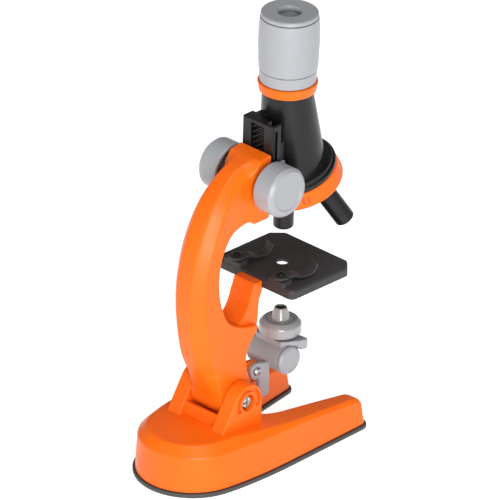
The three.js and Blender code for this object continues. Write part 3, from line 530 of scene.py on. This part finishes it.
def make_base():
    rim = base_rim()
    count = len(rim)
    sections = []
    for _, y in rim:
        share = float(np.clip((15 - y) / 45, 0, 1))
        chamfer, radius = 1.7 + 3.0 * share, 1.1 + 1.5 * share
        line = [(1.2, -20), (2.4, -chamfer), (2.4 + chamfer, 0), (6.2 + chamfer, 0)]
        sections.append(rounded(line, radius, closed=False, steps=6)[1:-1])
    rings = [[(x, y, 2.5) for x, y in inset(rim, 1.2)]]
    for j in range(len(sections[0])):
        flat = inset(rim, np.array([s[j][0] for s in sections]))
        ring = [(x, y, top_height(y) + sections[k][j][1]) for k, (x, y) in enumerate(flat)]
        if j == 0:
            for share in (0.3, 0.65):
                between = zip(rings[0], ring)
                rings.append([tuple(np.array(a) * (1 - share) + np.array(b) * share) for a, b in between])
        rings.append(ring)
    verts = [v for ring in rings for v in ring]
    faces = [f for k in range(len(rings) - 1) for f in band(count, k * count, (k + 1) * count)]
    faces.append(tuple(range(count)))
    points, triangles = filled([v[:2] for v in rings[-1]], 1.8, 1.0)
    start = len(verts)
    verts += [(x, y, top_height(y)) for x, y in points]
    faces += [tuple(start + i for i in t) for t in triangles]
    shell = solid(verts, faces)

    arch = arc(*PIVOT, 9.2, 0, 147, 40)
    outline = [(-1.8, 17), *arch, (-31.8, 20.6), (-31.8, 17)]
    for side in (-1, 1):
        x0, x1 = sorted((side * 10.5, side * 18.5))
        face = side * 18.5

        def sink(radius, depth):
            low, high = sorted((face - side * depth, face + side))
            return rod(radius, low, high, "x", PIVOT, 96)

        ear = slab(outline, x0, x1, "x", 0.7, 4)
        ring = carved(sink(7.9, 1.3), sink(5.7, 2), block(-30, 30, -40, 10, 0, 31.9, 0.1, 0))
        ear = carved(ear, ring, sink(4.25, 4), rod(2.3, x0 - 1, x1 + 1, "x", PIVOT, 48))
        shell = joined(shell, ear)
    stop = slab(rounded([(-26.2, 20), (-22.6, 20), (-22.6, 30.6), (-24.4, 30.6)], 0.6), -11, 11, "x", 0)
    shell = joined(shell, stop)
    piece("base_shell_fine", shell, WORLD, "base", ORANGE, "orange_shell", "base_shell")

    layers = [(0, 0.5), (0.15, 0.15), (0.5, 0), (1.7, 0), (2.05, 0.15), (2.2, 0.5)]
    plate = loft([[(x, y, z) for x, y in inset(rim, by)] for z, by in layers])
    holes = {"base_screw_rear": (0, -44), "base_screw_left": (-25, 36), "base_screw_right": (25, 36)}
    for x, y in holes.values():
        plate = carved(plate, rod(2.8, -1, 1.3, "z", (x, y)))
    piece("base_plate_fine", plate, WORLD, "base", RIM, "rim_plastic", "base_plate")
    for name, (x, y) in holes.items():
        made = screw(2.4, 0.9, 0.95, 9)
        piece(f"{name}_fine", made, WORLD @ placed(x, y, 1, (180, 0, 0)), "base", STEEL, "screw_steel", name)

    head = turned([(0, 14.8), (3.7, 14.8), (3.7, 16.2), (2.6, 17.2), (0, 17.3)], 0.4, axis="x",
        at=PIVOT, sides=64)
    for high, wide in ((2.6, 0.45), (0.45, 2.6)):
        head = carved(head, slab(rect(-11 - high, -11 + high, 35.4 - wide, 35.4 + wide, 0.1), 16.4, 18, "x",
            0))
    bolt = joined(head, rod(2, -17, 15, "x", PIVOT))
    piece("tilt_bolt_fine", bolt, WORLD, "base", STEEL, "screw_steel", "tilt_bolt")


# ---- Arm ----
ARM_FLAT = 4.65
ARM_HALF = 10.0
ARM_CHAMFER = 5.3
ARM_SPACING = 1.1
ARM_WAIST = 0.16
FLARE_LENGTH = 7.5
STALK_HALF = 6.9


def arm_outline():
    """Side outline in (y, z), counter-clockwise, and the depth of the back chamfer at each point."""
    foot = arc(*PIVOT, 10.3, 180, 350, 44)
    front = spline([(-1.2, 41), (-3.6, 48), (-4.4, 54), (-2.6, 60), (1.2, 64.6), (3, 67.2)], 6)
    crotch = [(3.3, 68.2), (3, 69), (2.2, 69.4), (-1.6, 69.9)] + spline([
        (-5.2, 70.6), (-13.3, 74), (-18.6, 79.1), (-22.4, 88), (-24.2, 97), (-24.1, 107), (-22.2, 114.2),
        (-19, 119.6), (-14.6, 123.2), (-9.4, 124.8), (-4, 125.7),
    ], 5)
    under = rounded([
        (-4, 125.7), (-1.3, 124.1, 1.5), (8.8, 124.2, 1.2), (8.8, 157.6, 0.9), (7.2, 157.3),
    ], 0, closed=False, steps=5)
    roof = [(7.2 - 0.58 * k, 157.3 - 0.09 * k) for k in range(1, 10)]
    back = spline([
        (1.4, 156.4), (-11.5, 151.6), (-23.8, 140.6), (-32.6, 124.5), (-37.9, 106), (-38.8, 86),
        (-34.6, 62.4), (-27.0, 47.2),
    ], 10)
    plain = resampled([*foot, *front, *crotch, *under[1:]], ARM_SPACING)
    smooth_back = resampled(back, ARM_SPACING)
    ramp = [ARM_CHAMFER * min(1, ARM_SPACING * k / FLARE_LENGTH) for k in range(len(smooth_back))]
    depths = [0.0] * (len(plain) + len(roof)) + ramp + [1.2]
    depths[-2], depths[-3], depths[-4] = 3.6, 4.4, 5.0
    return plain + roof + smooth_back + [(-22.4, 39.2)], np.array(depths)


def head_width(y, z):
    """Half width of the arm where it flares into the head's front, as a share of the full width."""
    flare = float(np.clip((y + 8) / 7.2, 0, 1)) ** 2
    near = float(np.clip((z - 114) / 12, 0, 1)) * float(np.clip((y + 28) / 16, 0, 1))
    return 1 - ARM_WAIST * near * (1 - flare)


def make_arm():
    outline, chamfer = arm_outline()
    count = len(outline)

    def depth(x):
        """The back chamfer's share of its full depth at a width, with soft edges."""
        k = 0.45
        over = (abs(x) - ARM_FLAT) / k
        soft = k * (math.log1p(math.exp(-abs(over))) + max(over, 0))
        return soft / (ARM_HALF - ARM_FLAT)

    edge = 0.7
    turns = np.linspace(0, math.pi / 2, 5)
    outer = [(ARM_HALF - edge * (1 - math.sin(t)), edge * (1 - math.cos(t))) for t in turns]
    inner = [(x, 0.0) for x in (0.0, 2.4, 3.6, 4.1, 4.5, 4.9, 5.4, 6.2, 7.4, 8.6)]
    half = inner + outer
    columns = [(-x, by) for x, by in reversed(half[1:])] + half
    rings = []
    for x, by in columns:
        flat = inset(outline, chamfer * depth(x) + by)
        rings.append([(x, y, z) for y, z in flat])
    verts = [v for ring in rings for v in ring]
    faces = [f for k in range(len(rings) - 1) for f in band(count, k * count, (k + 1) * count)]
    points, triangles = filled([v[1:] for v in rings[-1]], 1.6, 0.9)
    for x in (-ARM_HALF, ARM_HALF):
        start = len(verts)
        verts += [(x, y, z) for y, z in points]
        faces += [tuple(start + i for i in t) for t in triangles]
    verts = [(x * head_width(y, z), y, z) for x, y, z in verts]
    body = solid(verts, faces)

    hollow = spline([(-9, 69.5), (-3.4, 74.6), (-0.6, 79.6), (0.8, 83.8)], 8)
    stalk = rounded([
        (-9, 63, 0), (1, 63, 0), (5.8, 68, 1.2), (6.2, 72, 0), (6.7, 80, 3), (8.4, 84, 3), (8.4, 89.8),
        (3.2, 89.8), (1.7, 85.8, 2), *[(*p, 0) for p in reversed(hollow)],
    ], 0.7)
    shelf = block(-3, 3, 6, 13.4, 82.4, 85.3, 0.8, 0.2)
    rib = rounded([(-7, 34), (10.2, 34.8), *arc(*LAMP_PIVOT, 4.4, -60, 90, 16), (-7, 45.4)], 0)
    body = joined(body, slab(stalk, -STALK_HALF, STALK_HALF, "x", 0.7), shelf, slab(rib, -1.4, 1.4, "x", 0.3))
    body = carved(
        body,
        rod(6.1, -4.6, 4.6, "x", FOCUS_AXIS, 96),
        block(-4.6, 4.6, 6.1, 9.8, 137.1, 149.1, 0.2, 0),
        rod(1.8, -12, 12, "x", FOCUS_AXIS),
        rod(1.1, -3, 3, "x", LAMP_PIVOT),
    )
    piece("arm_fine", body, UPPER, "arm", ORANGE, "orange_shell", "arm")


# ---- Focus drive, guides ----
def make_focus():
    at = FOCUS_AXIS
    profile = [
        (0, 21.5, 0), (1.8, 21.5, 0), (1.8, 12.1, 0.2), (4.2, 12.1, 0.3), (4.2, 20.3, 0.3), (10.7, 20.3, 0.5),
        (10.7, 12.6, 0.2), (12.25, 12.6, 0.35), (12.5, 13.4, 2), (12.5, 22.6, 1.3), (11.0, 24.3, 0.9),
        (9.0, 24.5, 0.35), (8.5, 23.95, 0.35), (0, 23.85, 0),
    ]
    for side, name in ((-1, "focus_knob_left"), (1, "focus_knob_right")):
        knob = turned([(r, side * h, *more) for r, h, *more in profile], axis="x", at=at, steps=6)
        piece(f"{name}_fine", knob, UPPER, "focus_drive", GREY, "grey_plastic", name)
    shaft = turned([(0, -21.1), (1.5, -21.1), (1.5, 21.1), (0, 21.1)], 0.4, axis="x", at=at, sides=48)
    piece("pinion_shaft_fine", shaft, UPPER, "focus_drive", CHROME, "bright_steel", "pinion_shaft")
    for side, name in ((-1, "left"), (1, "right")):
        for k, (y, z) in enumerate(((2.4, 149.2), (2.4, 137))):
            node = f"guide_screw_{name}_{k + 1}"
            place = UPPER @ placed(side * 12.1, y, z, (0, side * 90, 0))
            piece(f"{node}_fine", screw(1.9, 1.1, 0.8, 7), place, "arm", STEEL, "screw_steel", node)


# ---- Tube ----
def tube_skin(wall, overrun, count=128):
    """The cone from the tilted nosepiece up to the level top, moved in by a wall."""
    foot = Matrix.Translation((0, 37.6, 130.8)) @ Matrix.Rotation(TILT, 4, "X")
    turns = np.linspace(0, 2 * math.pi, count, False)
    rings = []
    for share in (0, 0.02, 0.25, 0.5, 0.75, 1):
        ring = []
        for t in turns:
            flare = 0.5 * (1 - share / 0.02) if share < 0.02 and wall == 0 else 0
            radius = 16.2 - wall + flare
            low = foot @ Vector((radius * math.cos(t), radius * math.sin(t), 12.4 - overrun))
            high = Vector(((12.2 - wall) * math.cos(t), AXIS_Y + (12.2 - wall) * math.sin(t), 182 + overrun))
            ring.append(tuple(low.lerp(high, share)))
        rings.append(ring)
    return loft(rings)


def make_tube():
    side = rounded([(9.1, 134.2, 0.4), (13.2, 134.2, 0), (15.4, 138, 0), (15.4, 171.8, 0),
        (9.1, 171.8, 0.6)], 0)
    web = [(14.4, 139), (20.5, 140), (21.5, 171.8), (14.4, 171.8)]
    holder = slab(side, -10, 10, "x", 0.9, 5)
    holder = joined(holder, slab(web, -7.5, 7.5, "x", 0.3))
    slot = block(-4.3, 4.3, 8.1, 12.9, 133.2, 169.8, 0.2, 0)
    pocket = joined(block(-1.5, 8.6, 13.9, 22, 160, 174, 0.5, 0), block(4.6, 8.6, 10.4, 15, 166, 174, 0.5, 0))
    grooves = [
        block(*sorted((s * 6.0, s * 11.0)), 10.8, 12.6, 120, 168.8, 0.15, 0) for s in (-1, 1)
    ]
    holder = carved(holder, slot, pocket, *grooves)
    tube = carved(joined(holder, tube_skin(0, 0)), tube_skin(2, 0.6))
    piece("body_tube_fine", tube, UPPER, "tube", BLACK, "black_plastic", "body_tube")

    at = (0, AXIS_Y)
    collar = turned([
        (8.2, 176), (9.8, 176), (9.8, 182.3), (13.7, 182.3, 0.5), (14.5, 186.9, 0.5), (14.2, 187.3, 0.2),
        (11.3, 187.3), (11.3, 183.6), (8.2, 183.6),
    ], 0.2, at=at)
    piece("eyepiece_collar_fine", collar, UPPER, "tube", ORANGE, "orange_shell", "eyepiece_collar")
    sleeve = turned([(11.3, 187.6), (13.6, 187.6), (13.85, 193.4), (11.3, 193.4)], 0.22, at=at)
    piece("eyepiece_sleeve_fine", sleeve, UPPER, "tube", GREY, "grey_plastic", "eyepiece_sleeve")


def make_eyepiece():
    at = (0, AXIS_Y)
    barrel = turned([
        (9.2, 184), (11, 184), (11, 193.7), (14.1, 193.7, 0.35), (14.35, 198, 20), (14.7, 208, 30),
        (14.5, 216.4, 10), (14.15, 220.75, 0.3),
        (12.2, 220.8), (12.2, 218.6), (9.2, 218.6),
    ], 0.2, at=at)
    piece("eyepiece_barrel_fine", barrel, UPPER, "eyepiece", GREY, "grey_plastic", "eyepiece_barrel")
    cap = turned([
        (6.2, 216.4), (8.9, 216.4), (8.9, 218.9), (11.9, 218.9), (11.9, 221.2), (14.0, 221.2, 0.25),
        (13.75, 223.0, 0.7),
        (12.6, 223.28, 1), (6.0, 223.1, 0.45), (5.5, 222.3, 0.15), (5.4, 220.9, 0.1), (6.2, 220.7, 0.1),
    ], 0.2, at=at)
    piece("eyepiece_cap_fine", cap, UPPER, "eyepiece", GREY, "grey_plastic", "eyepiece_cap")
    eye = [(0, 217, 0), (5.9, 217.6), (5.9, 220.1)]
    eye += [(5.35 * math.cos(t), 220.4 + 0.9 * math.sin(t), 0) for t in np.linspace(0.15, math.pi / 2, 10)]
    piece("eye_lens_fine", turned(eye, 0.1, at=at), UPPER, "eyepiece", GLASS, "lens_glass", "eye_lens")


# ---- Nosepiece and turret ----
def seat(angle):
    """The place of an objective's seat in the turret's frame, its tip along -Z."""
    turn = Matrix.Rotation(math.radians(angle), 4, "Z") @ Matrix.Translation((9.15, 0, 0))
    return turn @ Matrix.Rotation(-TILT, 4, "Y")


OBJECTIVES = {"objective_mid": (-90, 18.5), "objective_high": (30, 27.5), "objective_low": (150, 12.6)}


def make_nosepiece():
    disc = turned([
        (0, 8.3), (20.8, 8.3, 0.4), (21, 10.4, 0.45), (19.8, 10.4, 0.15), (19.7, 12.5, 0.4), (0, 12.5),
    ], 0.3, steps=5)
    boss = joined(rod(3.6, 3.2, 9), rod(2.7, 3.4, 9, "z", (0, 14)))
    disc = joined(disc, boss)
    beam = moved(rod(4, 2, 20), Matrix.Translation((0, -9.15, 0)) @ Matrix.Rotation(-TILT, 4, "X"))
    disc = carved(disc, rod(1.6, 2, 11.8), rod(1.55, 2, 10.4, "z", (0, 14)), beam)
    piece("nosepiece_plate_fine", disc, TURRET, "tube", BLACK, "black_plastic", "nosepiece_plate")


def make_turret():
    ring = turned([
        (0, 0), (22.2, 0, 0.5), (22.55, 1.2, 0.6), (21.15, 7.5, 0.4), (20.6, 8, 0.2), (18.6, 8),
        (18.6, 2.6, 0.4), (0, 2.6),
    ], 0.3, steps=5)
    ring = carved(ring, rod(2.1, -1, 4))
    for angle, _ in OBJECTIVES.values():
        ring = carved(ring, moved(rod(3.3, -5, 6), seat(angle)))
    piece("turret_ring_fine", ring, TURRET, "turret", ORANGE, "orange_shell", "turret_ring")
    pivot = turned([
        (0, -2), (2.6, -2, 0.5), (3.2, -1.4, 0.3), (3.2, -0.3), (1.8, -0.3), (1.8, 2.9), (1.25, 2.9),
        (1.25, 11.2), (0, 11.2),
    ], 0.1, sides=64)
    pivot = carved(pivot, block(-2.4, 2.4, -0.4, 0.4, -3, -1.2, 0.1, 0))
    piece("turret_pivot_fine", pivot, TURRET, "tube", STEEL, "bright_steel", "turret_pivot")

    for marks, (name, (angle, length)) in enumerate(OBJECTIVES.items(), 1):
        shell = turned([
            (0, 5), (5.25, 5, 0), (5.25, -2.2, 0.3), (5, -2.5, 0.1), (4.92, -length + 0.8, 0.9),
            (3.9, -length, 0.5), (0, -length),
        ], 0.3, steps=6)
        moved(shell, seat(angle))
        shell = carved(shell, block(-40, 40, -40, 40, -0.3, 20, 1, 0))
        stem = moved(rod(3, -2.5, 3.6), seat(angle))
        light = moved(lathe([
            (0, 5), (2, 5), (2, -length + 2.6), (2.4, -length + 2.6), (2.4, -length + 0.9),
            (1.7, -length + 0.9), (2.1, -length - 1), (0, -length - 1),
        ], sides=64), seat(angle))
        made = carved(joined(shell, stem), light)
        piece(f"{name}_fine", made, TURRET, "turret", BLACK, "black_plastic", name)
        curve = [(2.1 * math.cos(t), -length + 1.5 - 0.45 * math.sin(t), 0) for t in np.linspace(0,
            math.pi / 2, 8)]
        lens = moved(turned([(0, -length + 2.3, 0), (2.1, -length + 2.0, 0), *curve], 0, sides=48),
            seat(angle))
        piece(f"{name}_lens_fine", lens, TURRET, "turret", GLASS, "lens_glass", f"{name}_lens")
        for k in range(marks + 1):
            around = angle + 57 + (k - marks / 2) * 7
            mark = slab(rect(-0.45, 0.45, -1.7, 1.7, 0.44, 5), 0, 0.25, "z", 0.08)
            face = Matrix.Rotation(math.radians(around), 4, "Z") @ Matrix.Translation((21.82, 0, 4.3))
            lean = math.degrees(math.atan2(1.4, 6.3))
            place = TURRET @ face @ Matrix.Rotation(math.radians(90 - lean), 4, "Y") @ placed(turn=(0, 0, 90))
            piece(f"{name}_mark_{k + 1}", mark, place, "turret", PRINT, "orange_shell")


# ---- Stage ----
CLIP_X, CLIP_Y = 14.5, 12.8


def make_stage():
    half, back, front, bottom, top = 26, 8.8, 52.8, 85.6, 90.3
    right = [(0, back, 0), (half, back, 3), (half, front - 5.9, 2.2), (half - 5.7, front, 2.2)]
    outline = rounded(right[1:] + [(-x, y, r) for x, y, r in reversed(right[1:])], 1, steps=8)
    layers = [(0.0, 0.6), (0.18, 0.18), (0.6, 0), (3.4, 0), (4.05, 0.18), (4.5, 0.62), (4.7, 1.3), (4.7, 1.7)]
    plate = loft([[(x, y, bottom + up) for x, y in inset(outline, by)] for up, by in layers])
    plate = carved(
        plate, rod(3, bottom - 1, top + 1, "z", (0, AXIS_Y), 96),
        rod(9.6, bottom - 1, top - 1.5, "z", (0, AXIS_Y), 128),
        rod(1, bottom - 1, bottom + 3.4, "z", (0, 10.6)),
    )
    for side in (-1, 1):
        x = side * CLIP_X
        tab = rounded([(x - 5.4, 9.2, 0.8), (x + 5.4, 9.2, 0.8),
            *[(*p, 0) for p in arc(x, CLIP_Y, 5.4, 0, 180, 32)]], 0)
        plate = joined(plate, slab(tab, top - 1, 92.5, "z", 0.4))
        plate = carved(plate, rod(1.3, bottom + 1, 94, "z", (x, CLIP_Y)))
    piece("stage_plate_fine", plate, UPPER, "arm", STAGE_BLACK, "stage_plastic", "stage_plate")
    place = UPPER @ placed(0, 10.6, 82.1, (180, 0, 0))
    piece("stage_screw_fine", screw(2, 1.1, 0.7, 5.6), place, "arm", STEEL, "screw_steel", "stage_screw")

    t, length = 1.2, 18
    top_line = spline([
        (-3, t), (0, t), (3.5, t), (5.6, t - 0.05), (7.8, t - 0.8), (10, t - 1.72), (12.6, t - 1.85),
        (length - 3.2, t - 1.72), (length - 1.2, t - 0.6), (length - 0.2, t + 1.4), (length + 0.05, t + 3),
    ], 6)
    line = np.array(top_line)
    along = np.gradient(line, axis=0)
    normal = np.stack([-along[:, 1], along[:, 0]], 1) / np.linalg.norm(along, axis=1)[:, None]
    thick = np.interp(line[:, 0], (5, 9), (1.2, 0.9))
    under = line - normal * thick[:, None]
    outline = [tuple(p) for p in under] + [tuple(p) for p in line[::-1]]
    for side, name in ((-1, "left"), (1, "right")):
        blade = slab(outline, -3, 3, "x", 0.22)
        disc = slab(oval(0, 0, 4.4, 4.4, 64), 0, t, "z", 0.3)
        clip = carved(joined(blade, disc), rod(1.3, -1, 3))
        place = UPPER @ placed(side * CLIP_X, CLIP_Y, 92.8, (0, 0, -15))
        piece(f"clip_{name}_fine", clip, place, f"clip_{name}", STAGE_BLACK, "stage_plastic", f"clip_{name}")
        place = UPPER @ placed(side * CLIP_X, CLIP_Y, 94.3)
        node = f"clip_screw_{name}"
        piece(f"{node}_fine", screw(2.3, 1, 0.95, 5.4), place, "arm", BLACK, "black_plastic", node)


# ---- Lamp ----
def make_lamp():
    y, z, radius = 24.1, 43.15, 7.25
    barrel = turned([(0, -11), (radius, -11, 1.4), (radius, 9.5, 0.2), (0, 9.5)], 0, axis="x", at=(y, z),
        steps=6)
    plan = [(8.2, 21.0), (10.6, 24.6), (12.8, 28.4), (14.4, 33), (13.4, 33.9)]
    plan = rounded(plan + [(-a, b) for a, b in reversed(plan)], 0.8, steps=5)
    tray = loft([
        [(a, b, h) for a, b in inset(plan, by)]
        for h, by in ((47.2, 1.2), (47.4, 0.6), (47.9, 0.15), (48.5, 0), (52.1, 0), (52.5, 0.15), (52.7, 0.5))
    ])
    tray = carved(tray, rod(7.55, 9.5, 15.5, "x", (y, z), 96), rod(10.9, 52.3, 54, "z", (0, AXIS_Y), 128))
    ear = [
        *arc(*LAMP_PIVOT, 4.2, 190, 290, 14), (11.2, 33), *arc(13, 26.4, 1.8, 180, 270, 8),
        *arc(16.2, 26.4, 1.8, 270, 360, 8), (18, 38.5), (17.6, 42), *arc(*LAMP_PIVOT, 4.2, 60, 180, 16),
    ]
    ear = slab(rounded(ear, 0), 1.8, 4.3, "x", 0.4)
    holder = joined(barrel, tray, ear)
    bore = rod(6.2, -9.5, 10.5, "x", (y, z), 96)
    holder = carved(holder, bore, rod(3.5, 49, 53, "z", (0, AXIS_Y)), rod(1.6, 1, 5, "x", LAMP_PIVOT))
    piece("lamp_holder_fine", holder, UPPER, "lamp", GREY, "grey_plastic", "lamp_holder")
    place = UPPER @ placed(4.6, 9.2, 39.8, (0, 90, 0))
    piece("lamp_screw_fine", screw(2.3, 1.2, 0.8, 5.8), place, "arm", STEEL, "screw_steel", "lamp_screw")
    cap = turned([
        (0, 10.1), (4.5, 10.1), (4.5, 8.2), (5.9, 8.2), (5.9, 9.8), (6.95, 9.8, 0.1), (7.25, 10.1, 0.2),
        (7.25, 11.3, 0.9), (6.2, 12.2, 0.5), (5.3, 12.2, 0.2), (5.05, 11.95, 0.2), (0, 12.0),
    ], 0.2, axis="x", at=(y, z), steps=5)
    piece("battery_cap_fine", cap, UPPER, "lamp", GREY, "grey_plastic", "battery_cap")

    at = (0, AXIS_Y)
    drum = turned([
        (0, 49.4), (3.2, 49.4), (3.2, 53), (10, 53, 0.6), (10.3, 54, 0.5), (10.3, 58.2, 2.2),
        (8.2, 60.3, 1.6), (6.6, 60.3, 0.2), (6.6, 58.7, 0.1),
        (2.6, 58.7), (2.6, 55), (0, 55),
    ], 0.2, at=at, steps=8)
    piece("lamp_drum_fine", drum, UPPER, "lamp_head", LAMP_GREY, "lamp_plastic", "lamp_drum")
    nozzle = turned([
        (2, 59), (6.45, 59), (6.45, 60.25, 0.1), (4.6, 60.5, 0.3), (3.25, 65.4, 0.8), (2.9, 66.1, 0.25),
        (2.55, 66.1, 0.1), (2.5, 65.2), (2, 65.2),
    ], 0.1, at=at, steps=5)
    notches = []
    for k in range(30):
        turn = Matrix.Translation((0, AXIS_Y, 0)) @ Matrix.Rotation(2 * math.pi * k / 30, 4, "Z")
        notches.append(moved(block(5.2, 7.0, -0.26, 0.26, 59.6, 61, 0.1, 0), turn))
    nozzle = carved(nozzle, *notches)
    piece("lamp_nozzle_fine", nozzle, UPPER, "lamp_head", LAMP_GREY, "lamp_plastic", "lamp_nozzle")
    grille = rod(2.46, 64.9, 65.5, "z", at)
    for k in range(7):
        a = math.radians(60 * k)
        spot = (0, AXIS_Y) if k == 6 else (1.45 * math.cos(a), AXIS_Y + 1.45 * math.sin(a))
        grille = carved(grille, rod(0.42, 64, 66, "z", spot, 20))
    piece("lamp_nozzle_grille", grille, UPPER, "lamp_head", BLACK, "black_plastic")
    led = turned([(0, 55.3), (2.2, 55.3), (2.2, 56.2), (1.6, 56.2), (1.6, 61.8, 1.2), (0, 63)], 0.1, at=at,
        sides=48)
    piece("lamp_led_fine", led, UPPER, "lamp_head", LED, "led_lens", "lamp_led")


make_base()
make_arm()
make_focus()
make_tube()
make_eyepiece()
make_nosepiece()
make_turret()
make_stage()
make_lamp()

# CAD nodes that stay as they are take a finished material.
KEPT = {
    "focus_rack": BLACK, "pinion_gear": BLACK, "focus_guide_left": GREY, "focus_guide_right": GREY,
    "tilt_nut": STEEL, "detent_spring": CHROME, "detent_ball": CHROME, "field_lens": GLASS,
    "battery_cell_1": CHROME, "battery_cell_2": CHROME, "battery_cell_3": CHROME,
    "contact_plate": CHROME, "contact_spring": CHROME,
}
for node_name, look in KEPT.items():
    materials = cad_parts[node_name].data.materials
    materials.clear()
    materials.append(look)


# ---- Floor, light and camera ----
FLOOR_HALF = 6
FLOOR_HEIGHT = -0.00002
FLOOR_GLOW = 0.84
AMBIENT = 0.22


def make_floor():
    corners = ((-1, -1), (1, -1), (1, 1), (-1, 1))
    verts = [(FLOOR_HALF * x, FLOOR_HALF * y, FLOOR_HEIGHT) for x, y in corners]
    mesh = bpy.data.meshes.new("floor")
    mesh.from_pydata(verts, [], [(0, 1, 2, 3)])
    floor = bpy.data.objects.new("floor", mesh)
    bpy.context.scene.collection.objects.link(floor)
    r = Recipe("floor_look")
    tone = r.mix(r.ramp(r.noise(3, 2), 0.0, 1.0), (0.60, 0.60, 0.60), (0.58, 0.58, 0.58))
    r.link(tone, r.shader.inputs["Base Color"])
    r.set(Roughness=0.9, Specular_IOR_Level=0.1, Emission_Color=(1.0, 1.0, 1.0), Emission_Strength=FLOOR_GLOW)
    mesh.materials.append(r.material)


def direction(azimuth, elevation):
    a, e = math.radians(azimuth), math.radians(elevation)
    return Vector((math.sin(a) * math.cos(e), -math.cos(a) * math.cos(e), math.sin(e)))


def make_light(name, azimuth, elevation, distance, width, height, power):
    """A soft panel that faces the middle of the object."""
    middle = Vector((0, 0, 0.1))
    data = bpy.data.lights.new(name, "AREA")
    data.shape = "RECTANGLE"
    data.size, data.size_y, data.energy = width, height, power
    lamp = bpy.data.objects.new(name, data)
    toward = direction(azimuth, elevation)
    lamp.location = middle + toward * distance
    lamp.rotation_euler = toward.to_track_quat("Z", "Y").to_euler()
    bpy.context.scene.collection.objects.link(lamp)


AZIMUTH, ELEVATION = 44.0, 28.6
CAMERA_DISTANCE = 8.572
FOCAL_LENGTH, SENSOR_WIDTH = 1296, 36
SHIFT_RIGHT, SHIFT_UP = 0.0271, 0.1043

# Azimuth, elevation, distance, width, height and power of each soft panel.
PANELS = {
    "key": (AZIMUTH + 8, 14, 1.3, 0.5, 0.7, 13),
    "side": (AZIMUTH - 60, 20, 1.4, 0.4, 0.9, 3),
    "top": (AZIMUTH + 20, 74, 1.5, 0.9, 0.9, 9),
}


def make_camera():
    a, e = math.radians(AZIMUTH), math.radians(ELEVATION)
    right = Vector((math.cos(a), math.sin(a), 0))
    up = Vector((-math.sin(a) * math.sin(e), math.cos(a) * math.sin(e), math.cos(e)))
    back = direction(AZIMUTH, ELEVATION)
    aim = Vector((0, -0.030, 0)) + right * SHIFT_RIGHT + up * SHIFT_UP
    data = bpy.data.cameras.new("camera")
    data.lens, data.sensor_width = FOCAL_LENGTH, SENSOR_WIDTH
    data.clip_end = 50
    camera = bpy.data.objects.new("camera", data)
    camera.location = aim + back * CAMERA_DISTANCE
    camera.rotation_euler = back.to_track_quat("Z", "Y").to_euler()
    bpy.context.scene.collection.objects.link(camera)
    bpy.context.scene.camera = camera


make_floor()
world = bpy.data.worlds.new("studio")
world.use_nodes = True
world.node_tree.nodes["Background"].inputs["Color"].default_value = (1, 1, 1, 1)
world.node_tree.nodes["Background"].inputs["Strength"].default_value = AMBIENT
bpy.context.scene.world = world
bpy.context.scene.view_settings.view_transform = "Standard"
for panel_name, panel in PANELS.items():
    make_light(panel_name, *panel)
make_camera()
